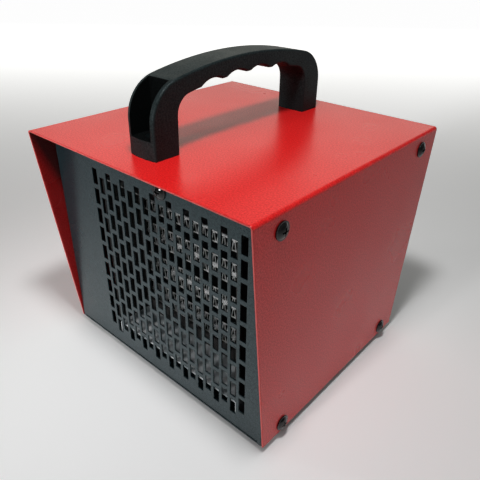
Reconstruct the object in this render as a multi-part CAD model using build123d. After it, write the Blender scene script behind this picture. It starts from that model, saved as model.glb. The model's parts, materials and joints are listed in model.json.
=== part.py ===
"""Portable forced air heater: a folded sheet case, a ceramic heating element, a square axial fan,
two rotary controls and a moulded bow handle.

The frame has +X to the right seen from the front, +Y to the rear and +Z up.
The origin is on the floor, under the middle of the case.
"""

from build123d import *
import math
import os

# ---------------------------------------------------------------- driving dimensions, millimetres

# Case
cover_width = 200.0          # across the side walls
cover_height = 167.0         # from the cover's lower edge to its top face
base_depth = 169.4           # front panel to rear panel
hood_overhang = 17.0         # how far the cover's top stands past each panel
sheet = 1.0                  # case sheet thickness
cover_bend = 2.2             # outer fold radius of the cover
panel_bend = 1.6             # outer fold radius of the panels and the tray
panel_flange = 12.0          # depth of the panels' side and foot flanges
panel_top_gap = 0.1          # panel top edge to the start of the cover's inner fold
tray_flange = 14.0           # height of the tray's side flanges
flange_gap = 0.7             # tray flange to panel flange
fold_relief = 5.0            # panel foot flange stops this far from the side flange
relief_cut = 1.0             # width of the corner relief notch

# Front grille: staggered upright slots
slot_columns = 19
slot_rows = 9
slot_web = 2.4               # metal between two columns
slot_bridge = 3.25           # metal between two slots of a column
slot_stagger = 5.0           # even columns sit this much lower
grille_left = 45.5           # side of the cover to the first column
grille_right = 16.3          # and to the last one
grille_ends = 33.35          # height of the cover that the slots' rows leave free
grille_drop = 3.4            # middle of the slots below the middle of the cover's height

# Case screws
side_screw_head = 10.8
side_screw_thread = 4.0
side_screw_length = 9.0
screw_head_height = 2.7
screw_rim = 0.3              # share of a head's height taken by its rim
screw_dome = 0.88            # dome to rim diameter
recess_arm = 1.1             # width of the cross recess in the case screws
recess_span = 4.8
recess_depth = 1.7
hole_clearance = 0.15        # radial, a screw through a plain hole
thread_clearance = 0.05      # radial, a screw in the hole that holds it
top_screw_drop = 11.0        # from the cover's top to its upper side screws
top_screw_inset = 5.8        # from the panel faces to the upper side screws
low_screw_rise = 7.0         # from the cover's lower edge to its lower side screws
low_screw_inset = 19.0       # from the panel faces to the lower side screws
front_screw_rise = 11.0      # front screw above the duct's ceiling
panel_screw_head = 7.4
panel_screw_thread = 3.5
panel_screw_length = 5.0
tray_screw_head_height = 2.2
panel_screw_x = 62.0         # screws under the tray, from the middle plane

# Feet
foot_height = 5.0
foot_top_diameter = 16.0
foot_base_diameter = 14.0
foot_offset = 1.2            # foot centre inwards of the middle of the bay beside the duct
foot_inset_y = 22.0          # foot centre to the panels' faces
foot_recess = 2.9            # depth of the hollow that hides the screw head
foot_hollow_gap = 0.6        # radial, screw head to the hollow
foot_screw_depth = 0.5       # top of the screw head above the floor
foot_screw_thread = 4.0
screw_end = 0.7              # thread past its nut
foot_screw_head = 7.4
foot_nut_width = 7.0
foot_nut_height = 3.2

# Handle
handle_end_gap = 1.5         # ends of the handle to the planes of the panels' faces
handle_x = -2.9              # middle of the handle from the middle of the case
handle_y = 1.0
handle_height = 51.4
handle_width = 23.6
handle_crown_radius = 300.0
handle_leg_draft = 1.0       # each leg's inner face leans outwards by half of this
handle_leg_depth = 20.2
handle_shoulder_radius = 24.0
handle_palm_radius = 12.0    # inner corner between a leg and the grip
grip_thickness = 11.7
grip_edge_radius = 1.4
groove_count = 4
groove_pitch = 21.4
groove_depth = 2.5
groove_radius = 17.0
groove_ridge_radius = 3.0
well_wall = 3.0              # side walls of the hollow in each leg
well_skin = 3.3              # wall between the hollow and the hand opening
well_floor = 11.8            # height of the hollow's floor above the cover
handle_end_radius = 55.0     # plan radius of the legs' outer faces
handle_screw_seat = 4.0
handle_screw_head = 9.0
handle_screw_head_height = 3.6
handle_screw_thread = 5.0
handle_nut_width = 8.0
handle_nut_height = 4.0
handle_washer_diameter = 12.0
handle_washer_thickness = 1.0

# Air duct
fan_side_gap = 1.5           # duct wall to the fan's frame
fan_top_gap = 1.0            # duct ceiling to the fan's frame
duct_floor_rise = 21.0       # top of the duct floor above the tray's underside
roof_space = 26.0            # duct ceiling to the top of the cover
duct_sheet = 0.8
duct_bend = 1.4              # outer fold radius
duct_foot = 9.0              # width of the feet that stand on the tray
duct_foot_clear = 9.7        # end of the duct's feet to the middle of the nearest rubber foot
duct_screw_front = 27.0      # duct screws from the front ends of the duct's feet
duct_screw_rear = 8.0        # and from their rear ends
duct_lug = 9.6               # width of the lug that the front screw holds
duct_lug_rise = 16.0         # its top above the duct's ceiling
duct_floor_gap = 0.3         # floor legs to the duct walls
duct_floor_setback = 0.6     # floor's front edge behind the grille panel
wall_lead = 3.0              # duct walls start this far ahead of the element

# Heating element
element_setback = 30.0       # front of the fins behind the grille panel's face
element_depth = 15.0
row_count = 4
stack_margin = 14.4          # duct height that the rows leave free
row_drop = 1.2               # middle of the stack below the middle of the duct
tube_height = 3.4
tube_wall = 0.5
tube_grip = 4.0              # length of tube held in each end frame
fin_height = 6.2
fin_sheet = 0.35
fin_wave = 4.4               # length of one full wave
fin_crest = 0.14             # half of each crest's flat, of a wave
fin_end_gap = 0.5            # end of each corrugated strip to its end frame
left_frame_width = 6.2
right_frame_width = 21.4     # the terminal end
fin_plate = 0.6
plate_gap = 0.1              # plates to the end frames
frame_margin = 2.0           # end frames stand this far past the fins, front and rear
frame_gap = 0.2              # end frame to the duct wall, floor and ceiling
frame_wall = 3.0             # walls round the hollows of the wide end frame
frame_rib = 4.0              # ribs above and below each tube in it
frame_corner_radius = 1.2
guide_sheet = 1.2            # walls of the end frames that lead the air to the grille
guide_gap = 0.5              # front of those walls to the grille panel
rail_depth = 3.0             # bars of the left frame that close the duct below and above the rows
tube_setback = 0.5           # tubes behind the faces of the fins
tube_fit = 0.05              # tubes in their end frames, on each side
stone_thickness = 1.6
stone_length = 20.0
stone_setback = 1.5          # stones and electrodes behind the faces of the fins
stones_per_row = 4
electrode_sheet = 0.3
tab_width = 5.0
tab_reach = 7.0              # electrode tabs past the duct wall
tab_end = 3.0                # and past the inner faces of the strips that join them
tab_fit = 0.05
bus_sheet = 0.8
bus_width = 6.0
bus_overhang = 7.0           # strips past the outer rows

# Fan
fan_depth = 38.0
fan_barrel_inset = 0.1       # barrel's outside to the sides of the square frame
fan_flange = 4.0
fan_corner_radius = 7.0
fan_bolt_inset = 7.1         # bolts to the sides of the frame
fan_bolt_diameter = 4.0
fan_bolt_head = 8.0
fan_bolt_nut_width = 7.0
fan_barrel_wall = 2.4
strut_count = 4
strut_width = 5.0
strut_thickness = 3.0
motor_plate_diameter = 48.0
bearing_tube_diameter = 12.0
bearing_tube_wall = 2.0
bearing_length = 5.0
bearing_inset = 1.5          # bearings from the ends of their tube
shaft_diameter = 4.0
running_fit = 0.03           # radial, shaft in its bearings
blade_count = 7
blade_tip_gap = 1.7
blade_thickness = 1.8
blade_root_chord = 27.0
blade_tip_chord = 33.0
blade_root_angle = 48.0      # from the plane of rotation
blade_tip_angle = 30.0
blade_camber = 0.10          # of the chord
hub_diameter = 54.0
hub_front_gap = 4.0          # struts to the hub
hub_corner_radius = 1.5
hub_boss_diameter = 10.0
hub_boss_height = 1.0
hub_wall = 2.0
hub_rear_gap = 3.0           # hub face to the rear panel
rotor_ring_wall = 2.0
air_gap = 0.6
stator_length = 14.0
stator_fit = 0.05            # radial, core on the bearing tube
coil_overhang = 3.0          # windings past the core, front and rear
pole_count = 4

# Rear intake: level slots inside a circle
intake_pitch = 7.8
intake_slot = 4.6
intake_margin = 3.0          # edge of the intake inside the fan's bore
intake_mullion = 7.0
intake_shortest = 6.0        # least length of a slot

# Rotary controls on the rear panel
control_offset = 0.4         # controls outwards of the middle of the bay beside the duct
switch_rise = 122.0          # above the tray's underside
thermostat_rise = 74.0
bushing_diameter = 9.5
bushing_reach = 5.0          # past the rear panel's outer face
control_nut_width = 13.0
control_nut_height = 2.5
control_shaft_diameter = 6.0
control_shaft_reach = 14.0   # past the rear panel's outer face
control_shaft_flat = 1.2
control_shaft_end_gap = 3.0  # end of the shaft's bore to the back of the control
control_shaft_clearance = 0.06
flat_lead = 0.3              # flat of the shaft past the end of the bushing
switch_size = 28.0
switch_depth = 18.0
thermostat_width = 32.0
thermostat_height = 36.0
thermostat_plate = 1.2
thermostat_depth = 16.0
blade_tab_width = 6.3
blade_tab_sheet = 0.8
blade_tab_length = 8.0
knob_diameter = 34.0
knob_gap = 0.8               # knob skirt to the rear panel
knob_height = 16.0
knob_skirt = 6.5
knob_taper = 1.6
knob_inner_gap = 0.6         # knob's hollows to the nut and the bushing
end_play = 0.3               # shafts to the ends of their bores
knob_bore_gap = 0.04         # radial, knob on its shaft
knob_grip_width = 9.4
pointer_width = 1.4
pointer_depth = 0.5
knob_grip_draft = 5.0        # degrees

# Cable gland, terminal block, earth stud and thermal cut-out
gland_thread = 16.0
gland_rise = 26.0
gland_hex = 20.0
gland_hex_height = 5.0
gland_cap_diameter = 18.0
gland_cap_height = 9.0
gland_bore = 8.0
gland_thread_length = 9.0
gland_nut_width = 21.0
gland_nut_height = 3.5
block_length = 44.0
block_width = 20.0
block_height = 14.0
block_ways = 4
block_gap = 9.8              # block to the duct's foot
block_lead = 37.7            # middle of the block ahead of the fan
block_groove_width = 2.0     # between the ways
block_groove_depth = 4.0
terminal_screw_diameter = 4.0
terminal_slot = 0.8          # driver slot, width and depth
terminal_well_diameter = 5.4
wire_entry_diameter = 3.4
wire_entry_share = 0.42      # height of the wire entries, of the block's height
terminal_screw_inset = 2.0   # below the top of the block
earth_gap = 23.8             # earth stud to the duct's foot
earth_lead = 20.0            # earth stud ahead of the block
earth_stud_length = 12.0
earth_ring_diameter = 8.0
earth_tag_sheet = 1.0
earth_tag_neck = 3.6         # width between the ring and the sleeve
earth_tag_reach = 5.0        # stud to the sleeve
cutout_offset = 22.6         # left of the duct's middle
cutout_lead = 11.0           # ahead of the middle of the duct's free length
cutout_diameter = 15.6
cutout_height = 7.0
cutout_flange_length = 32.0
cutout_flange_width = 9.0
cutout_flange_sheet = 0.8

# Wiring
wire_diameter = 2.4
wire_bend = 8.0
low_grommet_bore = 5.0       # under the duct floor
fan_grommet_bore = 9.0       # beside the fan
grommet_wall = 1.0
grommet_lip = 1.0            # flange past the sleeve
fan_lead_setback = 7.2       # fan leads ahead of the fan's front face
fan_lead_spread = 6.0        # between the two fan leads
fan_lead_x = -10.6           # where the leads enter the fan's motor plate, from its axis
fan_lead_rise = 11.5
lane_gap = 1.8               # upright wires outwards of the duct's foot
lane_spread = 2.0            # live wire's upright inwards of the others
selector_wire_reach = 4.0    # its upright run ahead of its bends
roof_wire_lead = 7.0         # wire to the duct's roof ahead of the fan's leads
connector_width = 8.0
connector_thickness = 3.6
connector_length = 13.0
connector_start = 0.3        # sleeve to the root of its terminal
connector_corner = 0.8
wire_grip = 0.5              # bores past the ends of their wires
wire_hold = 3.5              # length of a wire inside its sleeve or way
crimp_diameter = 4.4
crimp_length = 7.0
wire_end_gap = 1.5           # end of a wire from the far end of its sleeve

# ---------------------------------------------------------------- places worked out from them

tray_bottom = foot_height
tray_top = tray_bottom + sheet
cover_top = tray_bottom + cover_height
cover_inside = cover_width / 2 - sheet
front_face = -base_depth / 2
front_inside = front_face + sheet
rear_face = base_depth / 2
rear_inside = rear_face - sheet
panel_top = cover_top - cover_bend - panel_top_gap
top_screw_z = cover_top - top_screw_drop
low_screw_z = tray_bottom + low_screw_rise
tray_flange_end = base_depth / 2 - panel_flange - flange_gap
panel_screw_y = base_depth / 2 - panel_flange / 2

slot_pitch_x = (cover_width - grille_left - grille_right + slot_web) / slot_columns
slot_pitch_z = (cover_height - grille_ends) / slot_rows
slot_width = slot_pitch_x - slot_web
slot_height = slot_pitch_z - slot_bridge
grille_x = (grille_left - grille_right) / 2
grille_z = tray_bottom + cover_height / 2 - grille_drop

duct_height = cover_height - duct_floor_rise - roof_space
fan_size = duct_height - fan_top_gap
duct_width = fan_size + 2 * fan_side_gap
fan_bore_diameter = fan_size - 2 * (fan_barrel_wall + fan_barrel_inset)
fan_bolt_spacing = fan_size - 2 * fan_bolt_inset
intake_diameter = fan_bore_diameter - 2 * intake_margin
intake_highest = math.sqrt(
    (intake_diameter / 2) ** 2 - (intake_mullion / 2 + intake_shortest) ** 2
) - intake_slot / 2
intake_rows = 2 * int(intake_highest / intake_pitch) + 1
duct_x = grille_x
duct_left = duct_x - duct_width / 2
duct_right = duct_x + duct_width / 2
duct_floor_z = tray_bottom + duct_floor_rise
duct_ceiling = duct_floor_z + duct_height
duct_foot_left = duct_left - duct_sheet - duct_foot
duct_foot_right = duct_right + duct_sheet + duct_foot
front_screw_z = duct_ceiling + front_screw_rise
row_pitch = (duct_height - stack_margin) / row_count
row_middle = duct_floor_z + duct_height / 2 - row_drop
fin_left = duct_left + frame_gap + left_frame_width
fin_right = duct_right - frame_gap - right_frame_width
bay_wall = cover_inside - sheet
foot_x = (duct_right + duct_sheet + bay_wall) / 2 - foot_offset
foot_y = base_depth / 2 - foot_inset_y
duct_foot_end = foot_y - duct_foot_clear
duct_screw_y = (duct_screw_front - duct_foot_end, duct_foot_end - duct_screw_rear)
element_front = front_face + element_setback
element_rear = element_front + element_depth
frame_front = element_front - frame_margin
frame_rear = element_rear + frame_margin
wall_front = frame_front - wall_lead
row_heights = [row_middle + (row - (row_count - 1) / 2) * row_pitch for row in range(row_count)]

bus_x = duct_right + duct_sheet + tab_reach - tab_end + bus_sheet / 2

fan_front = rear_inside - fan_depth
fan_z = duct_floor_z + fan_size / 2
hub_rear = rear_inside - hub_rear_gap
hub_front = fan_front + strut_thickness + hub_front_gap
hub_depth = hub_rear - hub_front
blade_tip_radius = fan_bore_diameter / 2 - blade_tip_gap
bearing_bore = bearing_tube_diameter / 2 - bearing_tube_wall
stator_radius = hub_diameter / 2 - hub_wall - rotor_ring_wall - air_gap

handle_length = base_depth - 2 * handle_end_gap
handle_leg_inner = handle_length / 2 - handle_leg_depth
handle_screw_y = handle_length / 2 - handle_leg_depth / 2
control_rest = {"selector": -67.5, "thermostat": -135.0}   # pointer at rest, clockwise from the top
control_places = {
    "selector": tray_bottom + switch_rise,
    "thermostat": tray_bottom + thermostat_rise,
}
control_x = (duct_left - duct_sheet - bay_wall) / 2 - control_offset
gland_z = tray_bottom + gland_rise
cutout_x = duct_x - cutout_offset
cutout_y = (element_rear + fan_front) / 2 - cutout_lead
cutout_base = duct_ceiling + duct_sheet
cutout_tab_z = cutout_base + cutout_height - 2
block_x = duct_foot_left - block_gap - block_width / 2
block_y = fan_front - block_lead
earth_x = duct_foot_left - earth_gap
earth_y = block_y - block_length / 2 - earth_lead
wire_entry_z = tray_top + block_height * wire_entry_share
low_grommet_y = block_y + block_length * (block_ways - 1) / (2 * block_ways)
low_grommet_z = wire_entry_z
fan_lead_y = fan_front - fan_lead_setback
fan_lead_z = fan_z + fan_lead_rise
fan_lead_end = fan_front + strut_thickness / 2

# ---------------------------------------------------------------- drawing helpers

PLANES = {
    "x": (Plane.YZ, Vector(1, 0, 0)),
    "y": (Plane.XZ, Vector(0, 1, 0)),
    "z": (Plane.XY, Vector(0, 0, 1)),
}


def prism(outline, axis, start, end):
    """A flat outline pushed along an axis. It is drawn in (y, z), (x, z) or (x, y)."""
    plane, direction = PLANES[axis]
    placed = Pos(direction * start) * (plane * outline)
    return extrude(placed, amount=end - start, dir=direction)


def rod(axis, diameter, start, end, across, along):
    """A round bar or hole along an axis."""
    return prism(Pos(across, along) * Circle(diameter / 2), axis, start, end)


def block(x, y, z):
    """A box between two places on each axis."""
    middle = Pos((x[0] + x[1]) / 2, (y[0] + y[1]) / 2, (z[0] + z[1]) / 2)
    return middle * Box(x[1] - x[0], y[1] - y[0], z[1] - z[0])


def shape(*points):
    """A closed flat outline with straight sides."""
    return make_face(Polyline(*points, close=True))


def folded(points, thickness, outer_radius):
    """The cross-section of a folded sheet whose middle line runs through the points."""
    return trace(FilletPolyline(*points, radius=outer_radius - thickness / 2), thickness)


def mirrored_pair(solid, plane):
    """A solid and its mirror image."""
    return [solid, mirror(solid, about=plane)]


def dome(radius, height):
    """A shallow round cap standing on the plane z = 0."""
    ball = (radius ** 2 + height ** 2) / (2 * height)
    return (Pos(0, 0, height - ball) * Sphere(ball)) & prism(Circle(radius), "z", 0, height + 1)


def screw(head_diameter, head_height, thread, length):
    """A round-headed screw along +Z: the seat of its head is at zero and its thread is below."""
    rim = head_height * screw_rim
    body = prism(Circle(thread / 2), "z", -length, rim / 2)
    body += prism(Circle(head_diameter / 2), "z", 0, rim)
    body += Pos(0, 0, rim) * dome(head_diameter / 2 * screw_dome, head_height - rim)
    return body


def cross_recess(width, length, top, depth):
    """Cutter for a cross recess whose arms are as long as stated."""
    cross = Rectangle(width, length) + Rectangle(length, width)
    return prism(cross, "z", top - depth, top + 1)


def nut(width, height, bore):
    """A hexagon nut on the plane z = 0."""
    return prism(RegularPolygon(width / math.sqrt(3), 6) - Circle(bore / 2), "z", 0, height)


TURN = {
    "+z": Rot(0, 0, 0),
    "-z": Rot(180, 0, 0),
    "+x": Rot(0, 90, 0),
    "-x": Rot(0, -90, 0),
    "+y": Rot(-90, 0, 0),
    "-y": Rot(90, 0, 0),
}


def facing(direction, place, solid):
    """A solid drawn along +Z, turned to face a direction and put at a place."""
    return Pos(*place) * TURN[direction] * solid


def gather(solids):
    """Several separate solids kept together as one node."""
    flat = []
    for item in solids:
        flat.extend(item.solids())
    return Compound(children=flat)


# ---------------------------------------------------------------- case


def lean(z):
    """How far the cover's front and rear edges stand past the panels at a height."""
    return hood_overhang * (z - tray_bottom) / cover_height


def handle_hole_places():
    return [(handle_x, handle_y + side * handle_screw_y) for side in (-1, 1)]


def side_screw_places():
    """(y, z) of the four screws on each side wall."""
    upper = base_depth / 2 - top_screw_inset
    lower = base_depth / 2 - low_screw_inset
    return [(-upper, top_screw_z), (upper, top_screw_z), (-lower, low_screw_z), (lower, low_screw_z)]


def side_holes(clearance):
    """The eight holes that the side screws pass through, as cutters."""
    diameter = side_screw_thread + 2 * clearance
    return [
        rod("x", diameter, -cover_width, cover_width, y, z)
        for y, z in side_screw_places()
    ]


def make_cover():
    """Folded saddle whose front and rear edges lean outwards towards the top."""
    wall = cover_width / 2 - sheet / 2
    roof = cover_top - sheet / 2
    section = folded(
        [(-wall, tray_bottom), (-wall, roof), (wall, roof), (wall, tray_bottom)],
        sheet,
        cover_bend,
    )
    half = base_depth / 2
    low, high = tray_bottom - sheet, cover_top + sheet
    side = shape(
        (-half - lean(low), low),
        (half + lean(low), low),
        (half + lean(high), high),
        (-half - lean(high), high),
    )
    reach = half + hood_overhang + sheet
    body = prism(section, "y", -reach, reach) & prism(side, "x", -cover_width, cover_width)
    body -= side_holes(hole_clearance)
    for x, y in handle_hole_places():
        body -= rod("z", handle_screw_thread + 2 * hole_clearance, cover_top - 2, cover_top + 2, x, y)
    return body


def panel_blank():
    """Front panel before its openings: a web, two side flanges and a foot flange."""
    wall = cover_inside - sheet / 2
    web = front_face + sheet / 2
    flange_end = front_face + panel_flange
    plan = folded(
        [(-wall, flange_end), (-wall, web), (wall, web), (wall, flange_end)],
        sheet,
        panel_bend,
    )
    body = prism(plan, "z", tray_top, panel_top)
    foot_half = cover_inside - fold_relief
    cut_half = foot_half + relief_cut
    body -= block(
        (-cut_half, cut_half),
        (front_face - sheet, front_inside + sheet),
        (tray_top - sheet, tray_top + panel_bend),
    )
    foot_mid = tray_top + sheet / 2
    foot = folded(
        [(web, tray_top + 2 * panel_bend), (web, foot_mid), (flange_end, foot_mid)],
        sheet,
        panel_bend,
    )
    body += prism(foot, "x", -foot_half, foot_half)
    body -= side_holes(thread_clearance)
    for x in (-panel_screw_x, panel_screw_x):
        body -= rod(
            "z", panel_screw_thread + 2 * thread_clearance, tray_top - 1, tray_top + 3, x, -panel_screw_y
        )
    return body


def grille_slots():
    """Outline of the front slots: odd columns sit high, even columns sit low."""
    slots = []
    for column in range(slot_columns):
        x = grille_x + (column - (slot_columns - 1) / 2) * slot_pitch_x
        shift = slot_stagger / 2 if column % 2 == 0 else -slot_stagger / 2
        for row in range(slot_rows):
            z = grille_z + shift + (row - (slot_rows - 1) / 2) * slot_pitch_z
            slots.append(Pos(x, z) * Rectangle(slot_width, slot_height))
    return slots


def make_front_panel():
    slots = [prism(slot, "y", front_face - 1, front_inside + 1) for slot in grille_slots()]
    hole = rod(
        "y",
        side_screw_thread + 2 * hole_clearance,
        front_face - 1,
        front_inside + 1,
        duct_x,
        front_screw_z,
    )
    return panel_blank() - slots - hole


def intake_slots():
    """Outline of the level slots behind the fan, cut short by a circle and split by a mullion."""
    slots = []
    for row in range(intake_rows):
        offset = (row - (intake_rows - 1) / 2) * intake_pitch
        reach = math.sqrt((intake_diameter / 2) ** 2 - (abs(offset) + intake_slot / 2) ** 2)
        length = reach - intake_mullion / 2
        for side in (-1, 1):
            x = duct_x + side * (intake_mullion / 2 + length / 2)
            slots.append(Pos(x, fan_z + offset) * Rectangle(length, intake_slot))
    return slots


def fan_bolt_places():
    half = fan_bolt_spacing / 2
    return [(duct_x + i * half, fan_z + j * half) for i in (-1, 1) for j in (-1, 1)]


def make_rear_panel():
    span = (rear_inside - 1, rear_face + 1)
    panel = mirror(panel_blank(), about=Plane.XZ)
    panel -= [prism(slot, "y", *span) for slot in intake_slots()]
    for x, z in fan_bolt_places():
        panel -= rod("y", fan_bolt_diameter + 2 * hole_clearance, *span, x, z)
    for z in control_places.values():
        panel -= rod("y", bushing_diameter + 2 * hole_clearance, *span, control_x, z)
    panel -= rod("y", gland_thread + 2 * hole_clearance, *span, control_x, gland_z)
    return panel


def foot_places():
    return [(i * foot_x, j * foot_y) for i in (-1, 1) for j in (-1, 1)]


def duct_screw_places():
    """Screws that hold the duct's feet to the tray."""
    out = duct_sheet + duct_foot / 2
    return [
        (x, y)
        for x in (duct_left - out, duct_right + out)
        for y in duct_screw_y
    ]


def make_base_tray():
    """Floor of the case with a low flange up each side."""
    wall = cover_inside - sheet / 2
    middle = tray_bottom + sheet / 2
    rise = tray_bottom + tray_flange
    section = folded([(-wall, rise), (-wall, middle), (wall, middle), (wall, rise)], sheet, panel_bend)
    body = prism(section, "y", front_face, rear_face)
    for start, end in ((front_face - 1, -tray_flange_end), (tray_flange_end, rear_face + 1)):
        body -= block((-cover_width, cover_width), (start, end), (tray_top, rise + 1))
    body -= side_holes(thread_clearance)
    low, high = tray_bottom - 1, tray_top + 1
    for x, y in foot_places():
        body -= rod("z", foot_screw_thread + 2 * hole_clearance, low, high, x, y)
    for x in (-panel_screw_x, panel_screw_x):
        for y in (-panel_screw_y, panel_screw_y):
            body -= rod("z", panel_screw_thread + 2 * hole_clearance, low, high, x, y)
    for x, y in duct_screw_places():
        body -= rod("z", panel_screw_thread + 2 * hole_clearance, low, high, x, y)
    body -= rod("z", foot_screw_thread + 2 * hole_clearance, low, high, earth_x, earth_y)
    return body


def case_screw():
    """Screw with a cross recess, used on the cover's sides and in the front panel."""
    body = screw(side_screw_head, screw_head_height, side_screw_thread, side_screw_length)
    return body - cross_recess(recess_arm, recess_span, screw_head_height, recess_depth)


def make_side_screws():
    one = case_screw()
    screws = []
    for y, z in side_screw_places():
        screws.append(facing("+x", (cover_width / 2, y, z), one))
        screws.append(facing("-x", (-cover_width / 2, y, z), one))
    return gather(screws)


def make_front_screw():
    return facing("-y", (duct_x, front_face, front_screw_z), case_screw())


def tray_screw():
    return screw(panel_screw_head, tray_screw_head_height, panel_screw_thread, panel_screw_length)


def make_panel_screws():
    return gather(
        facing("-z", (x, y, tray_bottom), tray_screw())
        for x in (-panel_screw_x, panel_screw_x)
        for y in (-panel_screw_y, panel_screw_y)
    )


def make_duct_screws():
    return gather(facing("-z", (x, y, tray_bottom), tray_screw()) for x, y in duct_screw_places())


def make_rubber_feet():
    """Tapered pads with a hollow for the screw head."""
    seat = foot_height - foot_recess
    profile = shape(
        (foot_screw_thread / 2 + hole_clearance, foot_recess),
        (foot_screw_head / 2 + foot_hollow_gap, foot_recess),
        (foot_screw_head / 2 + foot_hollow_gap, 0),
        (foot_base_diameter / 2, 0),
        (foot_top_diameter / 2, seat),
        (foot_top_diameter / 2, foot_height),
        (foot_screw_thread / 2 + hole_clearance, foot_height),
    )
    pad = revolve(Plane.XZ * profile, Axis.Z)
    return gather(Pos(x, y, 0) * pad for x, y in foot_places())


def make_foot_screws():
    length = foot_height - foot_recess + sheet + foot_nut_height + screw_end
    one = screw(foot_screw_head, foot_recess - foot_screw_depth, foot_screw_thread, length)
    return gather(facing("-z", (x, y, foot_recess), one) for x, y in foot_places())


def make_foot_nuts():
    one = nut(foot_nut_width, foot_nut_height, foot_screw_thread + 2 * thread_clearance)
    return gather(Pos(x, y, tray_top) * one for x, y in foot_places())


# ---------------------------------------------------------------- handle


def crown(y):
    """Height of the handle's back above the cover."""
    return handle_height - y * y / (2 * handle_crown_radius)


def palm(y):
    """Height of the grip's underside between the finger grooves."""
    return crown(y) - grip_thickness


def crown_outline():
    """Side view of everything under the handle's back, in (y, height above the cover)."""
    end = handle_length / 2 + 1
    outline = Line((-end, 0), (-end, crown(end)))
    outline += ThreePointArc((-end, crown(end)), (0, crown(0)), (end, crown(end)))
    outline += Line((end, crown(end)), (end, 0))
    outline += Line((end, 0), (-end, 0))
    return make_face(outline)


def hand_opening():
    """Hand opening under the grip, with its row of finger grooves."""
    low = handle_leg_inner
    high = handle_leg_inner - handle_leg_draft / 2
    outline = Line((-low, -1), (-high, palm(high)))
    outline += ThreePointArc((-high, palm(high)), (0, palm(0)), (high, palm(high)))
    outline += Line((high, palm(high)), (low, -1))
    outline += Line((low, -1), (-low, -1))
    face = make_face(outline)
    corners = face.vertices().sort_by(Axis.Y)[-2:]
    face = fillet(corners, handle_palm_radius)
    for groove in range(groove_count):
        y = (groove - (groove_count - 1) / 2) * groove_pitch
        centre = palm(y) + groove_depth - groove_radius
        face += Pos(y, centre) * Circle(groove_radius)
    ridges = face.vertices().filter_by(
        lambda v: abs(v.Y - palm(v.X)) < groove_depth / 2 and abs(v.X) < high - handle_palm_radius
    )
    return fillet(ridges, groove_ridge_radius)


def leg_well():
    """Hollow in the front leg, open to the front and over the shoulder."""
    back = handle_leg_inner + well_skin
    out = -handle_length
    high = 2 * handle_height
    return shape((-back, well_floor), (-back, high), (out, high), (out, well_floor))


def handle_plan():
    """Plan view of the handle, whose ends bulge a little."""
    half = handle_length / 2
    side = handle_width / 2
    sag = handle_end_radius - math.sqrt(handle_end_radius ** 2 - side ** 2)
    outline = ThreePointArc((-side, -half + sag), (0, -half), (side, -half + sag))
    outline += Line((side, -half + sag), (side, half - sag))
    outline += ThreePointArc((side, half - sag), (0, half), (-side, half - sag))
    outline += Line((-side, half - sag), (-side, -half + sag))
    return make_face(outline)


def make_handle():
    """Moulded bow handle with finger grooves and a screw well in each leg."""
    side = handle_width / 2
    body = prism(crown_outline(), "x", -side - 1, side + 1)
    body &= prism(handle_plan(), "z", 0, handle_height)
    shoulders = body.edges().filter_by(
        lambda edge: abs(edge.center().X) < 0.01 and edge.center().Z > handle_height / 2
    )
    body = fillet(shoulders, handle_shoulder_radius)
    body -= prism(hand_opening(), "x", -side - 1, side + 1)
    long_edges = body.edges().filter_by(
        lambda edge: abs(abs(edge.center().X) - side) < 0.5 and edge.center().Z > 1
    )
    body = fillet(long_edges, grip_edge_radius)
    inside = side - well_wall
    well = prism(leg_well(), "x", -inside, inside)
    body -= mirrored_pair(well, Plane.XZ)
    for y in (-handle_screw_y, handle_screw_y):
        body -= rod("z", handle_screw_head + 1, handle_screw_seat, well_floor + 1, 0, y)
        body -= rod("z", handle_screw_thread + 2 * hole_clearance, -1, well_floor, 0, y)
    return Pos(handle_x, handle_y, cover_top) * body


def make_handle_screws():
    nut_end = sheet + handle_washer_thickness + handle_nut_height + screw_end
    length = handle_screw_seat + nut_end
    one = screw(handle_screw_head, handle_screw_head_height, handle_screw_thread, length)
    return gather(Pos(x, y, cover_top + handle_screw_seat) * one for x, y in handle_hole_places())


def make_handle_washers():
    ring = Circle(handle_washer_diameter / 2) - Circle(handle_screw_thread / 2 + hole_clearance)
    under = cover_top - sheet
    one = prism(ring, "z", under - handle_washer_thickness, under)
    return gather(Pos(x, y, 0) * one for x, y in handle_hole_places())


def make_handle_nuts():
    one = nut(handle_nut_width, handle_nut_height, handle_screw_thread + 2 * thread_clearance)
    low = cover_top - sheet - handle_washer_thickness - handle_nut_height
    return gather(Pos(x, y, low) * one for x, y in handle_hole_places())


# ---------------------------------------------------------------- air duct


def grommet_holes():
    """Cutters for the grommets: one straight through under the duct, one beside the fan."""
    low = low_grommet_bore + 2 * grommet_wall
    high = fan_grommet_bore + 2 * grommet_wall
    return [
        rod("x", low, -cover_width, cover_width, low_grommet_y, low_grommet_z),
        rod("x", high, -cover_width, duct_x, fan_lead_y, fan_lead_z),
    ]


def flange_notches():
    """Cutters that lift the duct clear of the panels' foot flanges."""
    reach = base_depth / 2 - panel_flange - flange_gap
    high = tray_top + panel_bend + 0.1
    return [
        block((-cover_width, cover_width), span, (tray_top - 1, high))
        for span in ((-base_depth, -reach), (reach, base_depth))
    ]


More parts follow.
